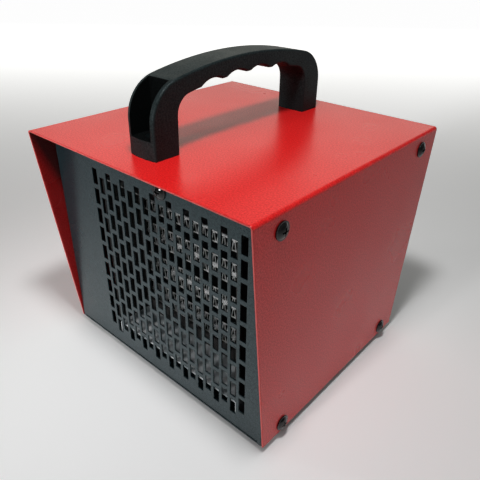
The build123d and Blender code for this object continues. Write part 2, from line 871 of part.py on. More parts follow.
def make_duct_shell():
    """Saddle over the element and the fan, with a lug that the front screw holds."""
    left = duct_left - duct_sheet / 2
    right = duct_right + duct_sheet / 2
    roof = duct_ceiling + duct_sheet / 2
    foot = tray_top + duct_sheet / 2
    section = folded(
        [
            (left - duct_foot, foot),
            (left, foot),
            (left, roof),
            (right, roof),
            (right, foot),
            (right + duct_foot, foot),
        ],
        duct_sheet,
        duct_bend,
    )
    body = prism(section, "y", wall_front, rear_inside)
    half = duct_width / 2 - duct_bend
    body += block(
        (duct_x - half, duct_x + half),
        (front_inside + duct_bend, wall_front + 1),
        (duct_ceiling, duct_ceiling + duct_sheet),
    )
    upright = front_inside + duct_sheet / 2
    lug = folded(
        [(wall_front + 1, roof), (upright, roof), (upright, duct_ceiling + duct_lug_rise)],
        duct_sheet,
        duct_bend,
    )
    body += prism(lug, "x", duct_x - duct_lug / 2, duct_x + duct_lug / 2)
    body -= rod(
        "y",
        side_screw_thread + 2 * thread_clearance,
        front_inside - 1,
        front_inside + duct_sheet + 1,
        duct_x,
        front_screw_z,
    )
    body -= grommet_holes()
    body -= flange_notches()
    outside = duct_width / 2 + duct_sheet
    for side in (-1, 1):
        span_x = sorted((duct_x + side * outside, duct_x + side * (outside + 2 * duct_foot)))
        for span_y in ((front_face, -duct_foot_end), (duct_foot_end, rear_face)):
            body -= block(span_x, span_y, (tray_top - 1, tray_top + 2 * duct_bend))
    for x, y in duct_screw_places():
        body -= rod("z", panel_screw_thread + 2 * thread_clearance, tray_top - 1, tray_top + 2, x, y)
    for z in row_heights:
        body -= prism(
            Pos((element_front + element_rear) / 2, z) * Rectangle(element_depth, tube_height + 2),
            "x",
            duct_right - 1,
            duct_right + duct_sheet + 1,
        )
    return body


def make_duct_floor():
    """Channel that carries the fan and closes the duct below."""
    leg = duct_width / 2 - duct_floor_gap - duct_sheet / 2
    top = duct_floor_z - duct_sheet / 2
    section = folded(
        [
            (duct_x - leg, tray_top),
            (duct_x - leg, top),
            (duct_x + leg, top),
            (duct_x + leg, tray_top),
        ],
        duct_sheet,
        duct_bend,
    )
    body = prism(section, "y", front_inside + duct_floor_setback, rear_inside - frame_gap)
    return body - grommet_holes() - flange_notches()


def grommet(bore, inner):
    """Rubber ring along +X with a flange outside the wall; zero is the wall's outer face."""
    sleeve = Circle(bore / 2 + grommet_wall - 0.05) - Circle(bore / 2)
    rim = Circle(bore / 2 + grommet_wall + grommet_lip) - Circle(bore / 2)
    return prism(sleeve, "x", -inner, grommet_wall) + prism(rim, "x", 0, grommet_wall)


def make_grommets():
    """Rubber rings round the wires in the duct's walls."""
    through = grommet(low_grommet_bore, 2 * duct_sheet + duct_floor_gap + 0.5)
    low = Pos(0, low_grommet_y, low_grommet_z) * through
    beside_fan = Pos(0, fan_lead_y, fan_lead_z) * grommet(fan_grommet_bore, duct_sheet + 0.5)
    return gather(
        [
            Pos(duct_right + duct_sheet, 0, 0) * low,
            Pos(duct_left - duct_sheet, 0, 0) * mirror(low, about=Plane.YZ),
            Pos(duct_left - duct_sheet, 0, 0) * mirror(beside_fan, about=Plane.YZ),
        ]
    )


# ---------------------------------------------------------------- heating element


def element_middle():
    return (element_front + element_rear) / 2


def end_frame(start, end, guide, grip_end):
    """Moulded bar that holds the ends of the heater tubes, with a wall that guides the air."""
    low = duct_floor_z + frame_gap
    high = duct_ceiling - frame_gap
    bar = block((start, end), (frame_front, frame_rear), (low, high))
    bar = fillet(bar.edges().filter_by(Axis.Z), frame_corner_radius)
    bar += block(guide, (front_inside + guide_gap, element_front), (low, high))
    for z in row_heights:
        width = element_depth - 2 * tube_setback + 2 * tube_fit
        pocket = Pos(element_middle(), z) * Rectangle(width, tube_height + 2 * tube_fit)
        bar -= prism(pocket, "x", *grip_end)
    return bar


def make_left_end_frame():
    """Frame with two bars that run to the terminal end, below and above the rows."""
    start = duct_left + frame_gap
    guide = (start, start + guide_sheet)
    frame = end_frame(start, fin_left, guide, (fin_left - tube_grip - frame_gap, fin_left + 1))
    edge = tube_height / 2 + fin_height + fin_plate + plate_gap
    for low, high in (
        (duct_floor_z + frame_gap, row_heights[0] - edge),
        (row_heights[-1] + edge, duct_ceiling - frame_gap),
    ):
        frame += block(
            (fin_left - frame_corner_radius, fin_right - frame_gap),
            (frame_front, frame_front + rail_depth),
            (low, high),
        )
    return frame


def make_right_end_frame():
    """Wider frame at the terminal end, hollowed out between the rows."""
    end = duct_right - frame_gap
    frame = end_frame(fin_right, end, (end - guide_sheet, end), (fin_right - 1, end + 1))
    edge = tube_height / 2 + frame_rib
    floors = [duct_floor_z + frame_wall] + [z + edge for z in row_heights]
    ceilings = [z - edge for z in row_heights] + [duct_ceiling - frame_wall]
    for low, high in zip(floors, ceilings):
        frame -= block(
            (fin_right + frame_wall, end - frame_wall),
            (frame_front - 1, frame_rear - frame_wall),
            (low, high),
        )
    return frame


def make_heater_tubes():
    """Flat aluminium tubes that hold the ceramic stones."""
    width = element_depth - 2 * tube_setback
    outer = Rectangle(width, tube_height)
    inner = Rectangle(width - 2 * tube_wall, tube_height - 2 * tube_wall)
    return gather(
        prism(Pos(element_middle(), z) * (outer - inner), "x", fin_left - tube_grip, fin_right + tube_grip)
        for z in row_heights
    )


def fin_strip(base, top):
    """One corrugated strip between two heights: a folded ribbon, edge on to the air."""
    waves = int((fin_right - fin_left - 2 * fin_end_gap) / fin_wave)
    start = (fin_left + fin_right - waves * fin_wave) / 2
    low = base + fin_sheet / 2
    high = top - fin_sheet / 2
    flat = fin_wave * fin_crest
    points = []
    for wave in range(waves):
        x = start + wave * fin_wave
        points += [(x + flat, low), (x + fin_wave / 2 - flat, high)]
        points += [(x + fin_wave / 2 + flat, high), (x + fin_wave - flat, low)]
    return prism(trace(Polyline(*points), fin_sheet), "y", element_front, element_rear)


def make_heater_fins():
    strips = []
    for z in row_heights:
        inner = tube_height / 2
        outer = tube_height / 2 + fin_height
        strips.append(fin_strip(z + inner, z + outer))
        strips.append(fin_strip(z - outer, z - inner))
    return gather(strips)


def make_fin_plates():
    """Thin plates that close each row above and below."""
    plates = []
    for z in row_heights:
        near = tube_height / 2 + fin_height
        far = near + fin_plate
        for low, high in ((z + near, z + far), (z - far, z - near)):
            plates.append(
                block(
                    (fin_left + plate_gap, fin_right - plate_gap),
                    (element_front, element_rear),
                    (low, high),
                )
            )
    return gather(plates)


def make_ceramic_stones():
    """Heating stones inside the tubes."""
    span = fin_right - fin_left
    step = span / stones_per_row
    width = element_depth - 2 * stone_setback
    stones = []
    for z in row_heights:
        for stone in range(stones_per_row):
            x = fin_left + (stone + 0.5) * step
            half = stone_thickness / 2
            stones.append(
                block(
                    (x - stone_length / 2, x + stone_length / 2),
                    (element_middle() - width / 2, element_middle() + width / 2),
                    (z - half, z + half),
                )
            )
    return gather(stones)


def tab_center(level):
    """Y of an electrode's tab: the upper electrodes use the front, the lower ones the rear."""
    return element_middle() - level * (element_depth / 4)


def make_electrodes():
    """Brass strips above and below the stones, each with a tab through the duct wall."""
    strips = []
    width = element_depth - 2 * stone_setback
    end = duct_right + duct_sheet + tab_reach
    for z in row_heights:
        for level in (-1, 1):
            near = stone_thickness / 2
            far = near + electrode_sheet
            low, high = (z + near, z + far) if level > 0 else (z - far, z - near)
            strip = block(
                (fin_left + 1, fin_right),
                (element_middle() - width / 2, element_middle() + width / 2),
                (low, high),
            )
            y = tab_center(level)
            strip += block((fin_right - 1, end), (y - tab_width / 2, y + tab_width / 2), (low, high))
            strips.append(strip)
    return gather(strips)


def bus_crimp(level):
    """Ends of the crimp sleeve: above the front strip, below the rear one."""
    if level > 0:
        end = row_heights[-1] + bus_overhang
        return end - 1, end - 1 + crimp_length
    end = row_heights[0] - bus_overhang
    return end + 1 - crimp_length, end + 1


def make_bus_strips():
    """Upright brass strips that join the electrode tabs of all rows."""
    x = bus_x - bus_sheet / 2
    strips = []
    for level in (-1, 1):
        y = tab_center(level)
        strip = block(
            (x, x + bus_sheet),
            (y - bus_width / 2, y + bus_width / 2),
            (row_heights[0] - bus_overhang, row_heights[-1] + bus_overhang),
        )
        for z in row_heights:
            near = stone_thickness / 2 - tab_fit
            far = near + electrode_sheet + 2 * tab_fit
            low, high = (z + near, z + far) if level > 0 else (z - far, z - near)
            gap = tab_width / 2 + tab_fit
            strip -= block((x - 1, x + 2), (y - gap, y + gap), (low, high))
        low, high = bus_crimp(level)
        strip += rod("z", crimp_diameter, low, high, bus_x, y)
        strip -= rod("z", wire_diameter + 2 * thread_clearance, low - 1, high + 1, bus_x, y)
        strips.append(strip)
    return gather(strips)


# ---------------------------------------------------------------- fan


def fan_ring(diameter, axis_start, axis_end, bore):
    ring = Circle(diameter / 2) - Circle(bore / 2) if bore else Circle(diameter / 2)
    return prism(Pos(duct_x, fan_z) * ring, "y", axis_start, axis_end)


def fan_lead_places():
    x = duct_x + fan_lead_x
    return [(x, fan_lead_z - fan_lead_spread / 2), (x, fan_lead_z + fan_lead_spread / 2)]


def make_fan_frame():
    """Square frame: two flanges, a barrel, struts, a motor plate and a bearing tube."""
    square = Pos(duct_x, fan_z) * RectangleRounded(fan_size, fan_size, fan_corner_radius)
    body = prism(square, "y", fan_front, fan_front + fan_flange)
    body += prism(square, "y", rear_inside - fan_flange, rear_inside)
    barrel = fan_bore_diameter + 2 * fan_barrel_wall
    body += fan_ring(barrel, fan_front, rear_inside, 0)
    body -= fan_ring(fan_bore_diameter, fan_front - 1, rear_inside + 1, 0)
    for x, z in fan_bolt_places():
        body -= rod("y", fan_bolt_diameter + 2 * hole_clearance, fan_front - 1, rear_inside + 1, x, z)
    for strut in range(strut_count):
        arm = Pos((fan_bore_diameter + 2) / 4, 0) * Rectangle((fan_bore_diameter + 2) / 2, strut_width)
        turned = Pos(duct_x, fan_z) * (Rot(0, 0, 45 + strut * 360 / strut_count) * arm)
        body += prism(turned, "y", fan_front, fan_front + strut_thickness)
    body += fan_ring(motor_plate_diameter, fan_front, fan_front + strut_thickness, 0)
    tube_end = hub_rear - hub_wall - bearing_inset
    body += fan_ring(bearing_tube_diameter, fan_front, tube_end, 0)
    body -= fan_ring(2 * bearing_bore, fan_front + bearing_inset, tube_end + 1, 0)
    for x, z in fan_lead_places():
        bore = wire_diameter + 2 * thread_clearance
        body -= rod("y", bore, fan_front - 1, fan_lead_end + wire_grip, x, z)
    return body


def make_fan_bearings():
    """Two bushes pressed into the bearing tube, one at each end."""
    first = fan_front + bearing_inset
    last = hub_rear - hub_wall - bearing_inset - bearing_length
    bore = shaft_diameter + 2 * running_fit
    outer = 2 * bearing_bore
    return gather(fan_ring(outer, y, y + bearing_length, bore) for y in (first, last))


def make_fan_stator():
    """Laminated core with its poles, clear of the rotor ring all round."""
    middle = (hub_front + hub_rear) / 2
    start, end = middle - stator_length / 2, middle + stator_length / 2
    core = fan_ring(2 * stator_radius, start, end, bearing_tube_diameter + 2 * stator_fit)
    for pole in range(pole_count):
        turn = Rot(0, 0, pole * 360 / pole_count)
        window = Pos(stator_radius * 0.62, 0) * Rectangle(stator_radius * 0.5, stator_radius * 0.62)
        neck = Pos(stator_radius, 0) * Rectangle(stator_radius * 0.4, 1.6)
        place = Pos(duct_x, fan_z)
        core -= prism(place * (turn * (window + neck)), "y", start - 1, end + 1)
    return core


def make_stator_coils():
    """Windings in the core's windows, standing a little past it front and rear."""
    middle = (hub_front + hub_rear) / 2
    half = stator_length / 2 + coil_overhang
    coils = []
    for pole in range(pole_count):
        turn = Rot(0, 0, pole * 360 / pole_count)
        outline = Pos(stator_radius * 0.62, 0) * Rectangle(stator_radius * 0.44, stator_radius * 0.56)
        coil = prism(Pos(duct_x, fan_z) * (turn * outline), "y", middle - half, middle + half)
        coils.append(coil)
    return gather(coils)


def blade_section(radius, chord, angle):
    """Curved blade section on a plane square to the radius, drawn in (around, axial)."""
    half = chord / 2
    rise = blade_camber * chord
    arc = ThreePointArc((-half, 0), (0, rise), (half, 0))
    section = Rot(0, 0, angle) * trace(arc, blade_thickness)
    plane = Plane(origin=(radius, 0, 0), x_dir=(0, 1, 0), z_dir=(1, 0, 0))
    return plane * section


def make_fan_rotor():
    """Hub cup with twisted, cambered blades, turning about the Y axis."""
    hub = Circle(hub_diameter / 2)
    body = prism(hub, "z", 0, hub_depth)
    body -= prism(Circle(hub_diameter / 2 - hub_wall), "z", -1, hub_depth - hub_wall)
    body = fillet(body.edges().sort_by(Axis.Z)[-1], hub_corner_radius)
    root = hub_diameter / 2 - hub_wall / 2
    blade = loft(
        [
            blade_section(root, blade_root_chord, blade_root_angle).face(),
            blade_section(blade_tip_radius + 2, blade_tip_chord, blade_tip_angle).face(),
        ],
        ruled=True,
    )
    blade = Pos(0, 0, hub_depth / 2) * blade
    limit = Circle(blade_tip_radius) - Circle(hub_diameter / 2 - hub_wall * 0.6)
    blade &= prism(limit, "z", 0.3, hub_depth - 0.3)
    for index in range(blade_count):
        body += Rot(0, 0, index * 360 / blade_count) * blade
    floor = hub_depth - hub_wall
    body += prism(Circle(hub_boss_diameter / 2), "z", floor - hub_boss_height, floor)
    body -= prism(Circle(shaft_diameter / 2), "z", floor - hub_boss_height - 1, floor + hub_wall / 2)
    turned = Rot(-90, 0, 0) * body
    return Pos(duct_x, hub_front, fan_z) * turned


def make_rotor_ring():
    """Steel ring inside the hub."""
    outer = hub_diameter - 2 * hub_wall
    return fan_ring(outer, hub_front + 2, hub_rear - hub_wall, outer - 2 * rotor_ring_wall)


def make_fan_shaft():
    return fan_ring(shaft_diameter, fan_front + bearing_inset + running_fit, hub_rear - hub_wall / 2, 0)


def make_fan_bolts():
    length = sheet + fan_depth + foot_nut_height + screw_end
    one = screw(fan_bolt_head, screw_head_height, fan_bolt_diameter, length)
    return gather(facing("+y", (x, rear_face, z), one) for x, z in fan_bolt_places())


def make_fan_nuts():
    one = nut(fan_bolt_nut_width, foot_nut_height, fan_bolt_diameter + 2 * thread_clearance)
    return gather(facing("-y", (x, fan_front, z), one) for x, z in fan_bolt_places())


# ---------------------------------------------------------------- controls


def control_shell(z):
    """Threaded bushing of a rotary control, with the bore for its shaft."""
    return rod("y", bushing_diameter, rear_inside - 2, rear_face + bushing_reach, control_x, z)


def shaft_bore(z, depth):
    bore = control_shaft_diameter + 2 * control_shaft_clearance
    return rod("y", bore, rear_inside - depth, rear_face + bushing_reach + 1, control_x, z)


SELECTOR_TABS = {"fan": (-7, 8), "spare": (7, 8), "heat": (-7, -8), "live": (7, -8)}
THERMOSTAT_TABS = {"in": (0, 9), "out": (0, -9)}


def blade_tabs(z, face, offsets):
    """Flat push-on terminals on the back of a control."""
    tabs = []
    for dx, dz in offsets:
        x = control_x + dx
        tabs.append(
            block(
                (x - blade_tab_width / 2, x + blade_tab_width / 2),
                (face - blade_tab_length, face + 0.5),
                (z + dz - blade_tab_sheet / 2, z + dz + blade_tab_sheet / 2),
            )
        )
    return tabs


def make_selector_switch():
    """Rotary switch: a square moulded body behind the rear panel."""
    z = control_places["selector"]
    face = rear_inside - switch_depth
    half = switch_size / 2
    body = block((control_x - half, control_x + half), (face, rear_inside), (z - half, z + half))
    body = fillet(body.edges().filter_by(Axis.Y), 2.5)
    body += control_shell(z)
    body -= shaft_bore(z, switch_depth - control_shaft_end_gap)
    for tab in blade_tabs(z, face, SELECTOR_TABS.values()):
        body += tab
    return body


def make_thermostat_body():
    """Rotary thermostat: a steel plate with a ceramic block on its back."""
    z = control_places["thermostat"]
    half_x, half_z = thermostat_width / 2, thermostat_height / 2
    span_x = (control_x - half_x, control_x + half_x)
    body = block(span_x, (rear_inside - thermostat_plate, rear_inside), (z - half_z, z + half_z))
    face = rear_inside - thermostat_depth
    core = block(
        (control_x - half_x + 4, control_x + half_x - 4),
        (face, rear_inside - thermostat_plate),
        (z - half_z + 3, z + half_z - 3),
    )
    body += chamfer(core.faces().sort_by(Axis.Y)[0].edges(), 2)
    body += control_shell(z)
    body -= shaft_bore(z, thermostat_depth - control_shaft_end_gap)
    for tab in blade_tabs(z, face, THERMOSTAT_TABS.values()):
        body += tab
    return body


def control_shaft(name, depth):
    """Shaft with a flat where the knob grips it."""
    end = control_shaft_reach
    width = control_shaft_diameter
    body = prism(Circle(width / 2), "z", end_play - depth - sheet, end)
    flat = width / 2 - control_shaft_flat
    body -= block((-width, width), (flat, width), (bushing_reach + flat_lead, end + 1))
    return control_turn(name, rear_face) * body


def control_nut(z):
    one = nut(control_nut_width, control_nut_height, bushing_diameter + 2 * thread_clearance)
    return facing("+y", (control_x, rear_face, z), one)


def make_control_nuts():
    return gather(control_nut(z) for z in control_places.values())


def knob_blank():
    """Tapered skirt with a straight finger grip across it, drawn along +Z."""
    radius = knob_diameter / 2
    base = loft(
        [Circle(radius).face(), (Pos(0, 0, knob_skirt) * Circle(radius - knob_taper)).face()]
    )
    grip_outline = SlotOverall(knob_diameter - 2 * knob_taper - 1, knob_grip_width)
    grip = extrude(
        Pos(0, 0, knob_skirt - 1) * grip_outline,
        amount=knob_height - knob_skirt + 1,
        taper=knob_grip_draft,
    )
    body = base + (Rot(0, 0, 90) * grip)
    return fillet(body.faces().sort_by(Axis.Z)[-1].edges(), 1.0)


def make_knob(name):
    """Knob with a pointer line, hollow over the panel nut and the bushing."""
    body = knob_blank()
    top = knob_height - pointer_depth
    body -= block((-pointer_width / 2, pointer_width / 2), (3, knob_diameter), (top, knob_height + 1))
    nut_room = control_nut_width / math.sqrt(3) + knob_inner_gap
    body -= prism(Circle(nut_room), "z", -1, control_nut_height - knob_gap + knob_inner_gap)
    bushing_room = bushing_diameter / 2 + knob_inner_gap
    body -= prism(Circle(bushing_room), "z", -1, bushing_reach - knob_gap + knob_inner_gap)
    width = control_shaft_diameter
    bore = Circle(width / 2 + knob_bore_gap)
    flat = width / 2 - control_shaft_flat + knob_bore_gap
    bore -= Pos(0, flat + width / 2) * Rectangle(2 * width, width)
    body -= prism(bore, "z", -1, control_shaft_reach - knob_gap + end_play)
    return control_turn(name, rear_face + knob_gap) * body


def control_turn(name, y):
    """Placement that turns +Z to the rear and +Y to the control's pointer direction at rest."""
    place = Pos(control_x, y, control_places[name])
    return place * Rot(0, -control_rest[name], 0) * Rot(-90, 0, 0) * Rot(0, 0, 180)


# ---------------------------------------------------------------- mains entry and wiring


def make_gland_body():
    """Gland body: thread through the panel and hexagon outside."""
    body = rod("y", gland_thread, rear_face - gland_thread_length, rear_face, control_x, gland_z)
    hexagon = RegularPolygon(gland_hex / math.sqrt(3), 6)
    body += prism(Pos(control_x, gland_z) * hexagon, "y", rear_face, rear_face + gland_hex_height)
    start = rear_face - gland_thread_length - 1
    return body - rod("y", gland_bore, start, rear_face + gland_hex_height + 1, control_x, gland_z)


def make_gland_cap():
    """Domed cap nut with an open mouth."""
    radius = gland_cap_diameter / 2
    profile = Line((gland_bore / 2, 0), (radius, 0))
    profile += Line((radius, 0), (radius, gland_cap_height * 0.45))
    profile += ThreePointArc(
        (radius, gland_cap_height * 0.45),
        (radius * 0.86, gland_cap_height * 0.85),
        (gland_bore / 2 + 1.2, gland_cap_height),
    )
    profile += Line((gland_bore / 2 + 1.2, gland_cap_height), (gland_bore / 2, gland_cap_height))
    profile += Line((gland_bore / 2, gland_cap_height), (gland_bore / 2, 0))
    cap = revolve(Plane.XZ * make_face(profile), Axis.Z)
    return facing("+y", (control_x, rear_face + gland_hex_height, gland_z), cap)


def make_gland_locknut():
    one = nut(gland_nut_width, gland_nut_height, gland_thread + 2 * thread_clearance)
    return facing("-y", (control_x, rear_inside, gland_z), one)


def way_places():
    """Y of each way of the terminal block."""
    step = block_length / block_ways
    return [block_y + (way - (block_ways - 1) / 2) * step for way in range(block_ways)]


def make_terminal_block():
    """Moulded block with a row of stepped ways, a screw well and a wire entry on each side."""
    body = block(
        (block_x - block_width / 2, block_x + block_width / 2),
        (block_y - block_length / 2, block_y + block_length / 2),
        (tray_top, tray_top + block_height),
    )
    step = block_length / block_ways
    for gap in range(block_ways - 1):
        y = block_y - block_length / 2 + (gap + 1) * step
        body -= block(
            (block_x - block_width, block_x + block_width),
            (y - block_groove_width / 2, y + block_groove_width / 2),
            (tray_top + block_height - block_groove_depth, tray_top + block_height + 1),
        )
    entry_z = wire_entry_z
    for y in way_places():
        body -= rod("x", wire_entry_diameter, block_x - block_width, block_x + block_width, y, entry_z)
        for side in (-1, 1):
            x = block_x + side * block_width / 4
            body -= rod("z", terminal_well_diameter, entry_z, tray_top + block_height + 1, x, y)
    return body


def make_terminal_screws():
    screws = []
    top = tray_top + block_height - terminal_screw_inset
    foot = wire_entry_z + wire_entry_diameter / 2 - thread_clearance
    for y in way_places():
        for side in (-1, 1):
            x = block_x + side * block_width / 4
            body = rod("z", terminal_screw_diameter, foot, top, x, y)
            reach = terminal_screw_diameter
            half = terminal_slot / 2
            slot = block((x - reach, x + reach), (y - half, y + half), (top - terminal_slot, top + 1))
            screws.append(body - slot)
    return gather(screws)


def make_earth_stud():
    one = screw(foot_screw_head, tray_screw_head_height, foot_screw_thread, earth_stud_length)
    return facing("-z", (earth_x, earth_y, tray_bottom), one)


def make_earth_nut():
    one = nut(foot_nut_width, foot_nut_height, foot_screw_thread + 2 * thread_clearance)
    return Pos(earth_x, earth_y, tray_top + earth_tag_sheet) * one


def make_earth_tag():
    """Ring terminal under the earth nut, with the sleeve that grips its wire."""
    neck_end = earth_tag_reach + 1
    ring = Circle(earth_ring_diameter / 2) + Pos(neck_end / 2, 0) * Rectangle(neck_end, earth_tag_neck)
    ring -= Circle(foot_screw_thread / 2 + hole_clearance)
    body = prism(Pos(earth_x, earth_y) * ring, "z", tray_top, tray_top + earth_tag_sheet)
    start = earth_x + earth_tag_reach
    middle = tray_top + crimp_diameter / 2
    body += rod("x", crimp_diameter, start, start + crimp_length, earth_y, middle)
    bore = wire_diameter + 2 * thread_clearance
    return body - rod("x", bore, start, start + crimp_length + 1, earth_y, middle)


def make_thermal_cutout():
    """Snap-disc cut-out on the duct's roof, with a flat terminal front and rear."""
    base = cutout_base
    flange = Rectangle(cutout_flange_length, cutout_flange_width)
    place = Pos(cutout_x, cutout_y)
    body = prism(place * flange, "z", base, base + cutout_flange_sheet)
    body += prism(place * Circle(cutout_diameter / 2), "z", base, base + cutout_height)
    half = blade_tab_sheet / 2
    width = blade_tab_width / 2
    reach = cutout_diameter / 2 + blade_tab_length
    body += block(
        (cutout_x - width, cutout_x + width),
        (cutout_y - reach, cutout_y + reach),
        (cutout_tab_z - half, cutout_tab_z + half),
    )
    return body


def wire(*points):
    """A wire along straight runs joined by arcs."""
    path = FilletPolyline(*points, radius=wire_bend)
    return sweep(Plane(origin=path @ 0, z_dir=path % 0) * Circle(wire_diameter / 2), path=path)


def terminal(name):
    """Place of a push-on terminal's root, and the way it points along Y."""
    if name in SELECTOR_TABS:
        dx, dz = SELECTOR_TABS[name]
        return control_x + dx, rear_inside - switch_depth, control_places["selector"] + dz, -1
    if name in THERMOSTAT_TABS:
        dx, dz = THERMOSTAT_TABS[name]
        return control_x + dx, rear_inside - thermostat_depth, control_places["thermostat"] + dz, -1
    side = 1 if name == "cutout_rear" else -1
    return cutout_x, cutout_y + side * cutout_diameter / 2, cutout_tab_z, side


def wire_end(name):
    """Where a wire's end sits inside the push-on connector of a terminal."""
    x, y, z, side = terminal(name)
    return Vector(x, y + side * (connector_length - wire_hold), z)


def connector(name):
    """Sleeve pushed over a terminal, with a bore for its wire."""
    x, y, z, side = terminal(name)
    half_x = connector_width / 2
    half_z = connector_thickness / 2
    ends = sorted((y + side * connector_start, y + side * connector_length))
    body = block((x - half_x, x + half_x), ends, (z - half_z, z + half_z))
    body = fillet(body.edges().filter_by(Axis.Y), connector_corner)
    pocket = sorted((y, y + side * (blade_tab_length + thread_clearance)))
    slot_x = blade_tab_width / 2 + thread_clearance
    slot_z = blade_tab_sheet / 2 + thread_clearance
    body -= block((x - slot_x, x + slot_x), pocket, (z - slot_z, z + slot_z))
    wire_start = connector_length - wire_hold - wire_grip
    bore = sorted((y + side * wire_start, y + side * (connector_length + 1)))
    return body - rod("y", wire_diameter + 2 * thread_clearance, *bore, x, z)


def make_connectors():
    names = ("fan", "heat", "live", "in", "out", "cutout_front", "cutout_rear")
    return gather(connector(name) for name in names)


def way_start(way):
    """Where a wire's end sits inside the terminal block."""
    return Vector(block_x + block_width / 2 - wire_hold, way_places()[way], wire_entry_z)


def make_live_wire():
    """Terminal block to the selector."""
    start = way_start(1)
    end = wire_end("live")
    lane = duct_foot_left - lane_gap + lane_spread
    corner = Vector(lane, start.Y, end.Z)
    bend = Vector(end.X, end.Y - wire_bend, end.Z)
    return wire(start, Vector(lane, start.Y, start.Z), corner, bend, end)


def make_selector_wire():
    """Selector to thermostat."""
    start = wire_end("heat")
    end = wire_end("in")
    y = min(start.Y, end.Y) - wire_bend - selector_wire_reach
    return wire(start, Vector(start.X, y, start.Z), Vector(end.X, y, end.Z), end)


def make_thermostat_wire():
    """Thermostat to the cut-out on the duct's roof."""
    start = wire_end("out")
    end = wire_end("cutout_rear")
    y = fan_lead_y - roof_wire_lead
    low = Vector(start.X, y, start.Z)
    high = Vector(start.X, y, end.Z)
    return wire(start, low, high, Vector(end.X, y, end.Z), end)


def make_element_live_wire():
    """Cut-out to the front strip of the element."""
    start = wire_end("cutout_front")
    y = tab_center(1)
    end = Vector(bus_x, y, bus_crimp(1)[0] + wire_end_gap)
    return wire(start, Vector(start.X, y, start.Z), Vector(end.X, y, start.Z), end)


def make_element_neutral_wire():
    """Terminal block, under the duct, to the rear strip of the element."""
    start = way_start(block_ways - 1)
    y = tab_center(-1)
    end = Vector(bus_x, y, bus_crimp(-1)[1] - wire_end_gap)
    lane = (duct_foot_right + bay_wall) / 2
    turn = Vector(lane, start.Y, start.Z)
    return wire(start, turn, Vector(end.X, y, start.Z), end)


def make_fan_live_wire():
    start = wire_end("fan")
    x, z = fan_lead_places()[1]
    end = Vector(x, fan_lead_end, z)
    upper = Vector(start.X, fan_lead_y, start.Z)
    lower = Vector(start.X, fan_lead_y, z)
    return wire(start, upper, lower, Vector(x, fan_lead_y, z), end)


def make_fan_neutral_wire():
    start = way_start(2)
    x, z = fan_lead_places()[0]
    end = Vector(x, fan_lead_end, z)
    lane = duct_foot_left - lane_gap
    foot = Vector(lane, start.Y, start.Z)
    top = Vector(lane, start.Y, z)
    turn = Vector(lane, fan_lead_y, z)
    return wire(start, foot, top, turn, Vector(x, fan_lead_y, z), end)


def make_earth_wire():
    """Terminal block to the earth stud on the tray."""
    start = way_start(0)
    lane = duct_foot_left - lane_gap
    end = Vector(earth_x + earth_tag_reach + wire_end_gap, earth_y, tray_top + crimp_diameter / 2)
    return wire(start, Vector(lane, start.Y, start.Z), Vector(lane, end.Y, end.Z), end)


PARTS = {
    "cover": make_cover,
    "front_panel": make_front_panel,
    "rear_panel": make_rear_panel,
    "base_tray": make_base_tray,
    "side_screws": make_side_screws,
    "front_screw": make_front_screw,
    "panel_screws": make_panel_screws,
    "duct_screws": make_duct_screws,
    "rubber_feet": make_rubber_feet,
    "foot_screws": make_foot_screws,
    "foot_nuts": make_foot_nuts,
    "handle": make_handle,
    "handle_screws": make_handle_screws,
    "handle_washers": make_handle_washers,
    "handle_nuts": make_handle_nuts,
    "duct_shell": make_duct_shell,
    "duct_floor": make_duct_floor,
    "wire_grommets": make_grommets,
    "element_left_frame": make_left_end_frame,
    "element_right_frame": make_right_end_frame,
    "heater_tubes": make_heater_tubes,
    "heater_fins": make_heater_fins,
    "fin_plates": make_fin_plates,
    "ceramic_stones": make_ceramic_stones,
    "electrodes": make_electrodes,
    "bus_strips": make_bus_strips,
    "fan_frame": make_fan_frame,
    "fan_bearings": make_fan_bearings,
    "fan_stator": make_fan_stator,
    "stator_coils": make_stator_coils,
    "fan_rotor": make_fan_rotor,
    "rotor_ring": make_rotor_ring,
    "fan_shaft": make_fan_shaft,
    "fan_bolts": make_fan_bolts,
    "fan_nuts": make_fan_nuts,
    "selector_switch": make_selector_switch,
    "thermostat_body": make_thermostat_body,
    "control_nuts": make_control_nuts,
    "gland_body": make_gland_body,
    "gland_cap": make_gland_cap,
    "gland_locknut": make_gland_locknut,
    "terminal_block": make_terminal_block,
    "terminal_screws": make_terminal_screws,
    "earth_stud": make_earth_stud,
    "earth_nut": make_earth_nut,
    "earth_tag": make_earth_tag,
    "thermal_cutout": make_thermal_cutout,
    "wire_connectors": make_connectors,
    "live_wire": make_live_wire,
    "selector_wire": make_selector_wire,
    "thermostat_wire": make_thermostat_wire,
    "element_live_wire": make_element_live_wire,
    "element_neutral_wire": make_element_neutral_wire,
    "fan_live_wire": make_fan_live_wire,
    "fan_neutral_wire": make_fan_neutral_wire,
    "earth_wire": make_earth_wire,
    "selector_shaft": lambda: control_shaft("selector", switch_depth - control_shaft_end_gap),
    "selector_knob": lambda: make_knob("selector"),
    "thermostat_shaft": lambda: control_shaft("thermostat", thermostat_depth - control_shaft_end_gap),
    "thermostat_knob": lambda: make_knob("thermostat"),
}


def main():
    os.makedirs("parts", exist_ok=True)
    for name, make in PARTS.items():
        export_step(make(), f"parts/{name}.step")


main()
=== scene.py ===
import json
import math

import bmesh
import bpy
from mathutils import Matrix, Vector


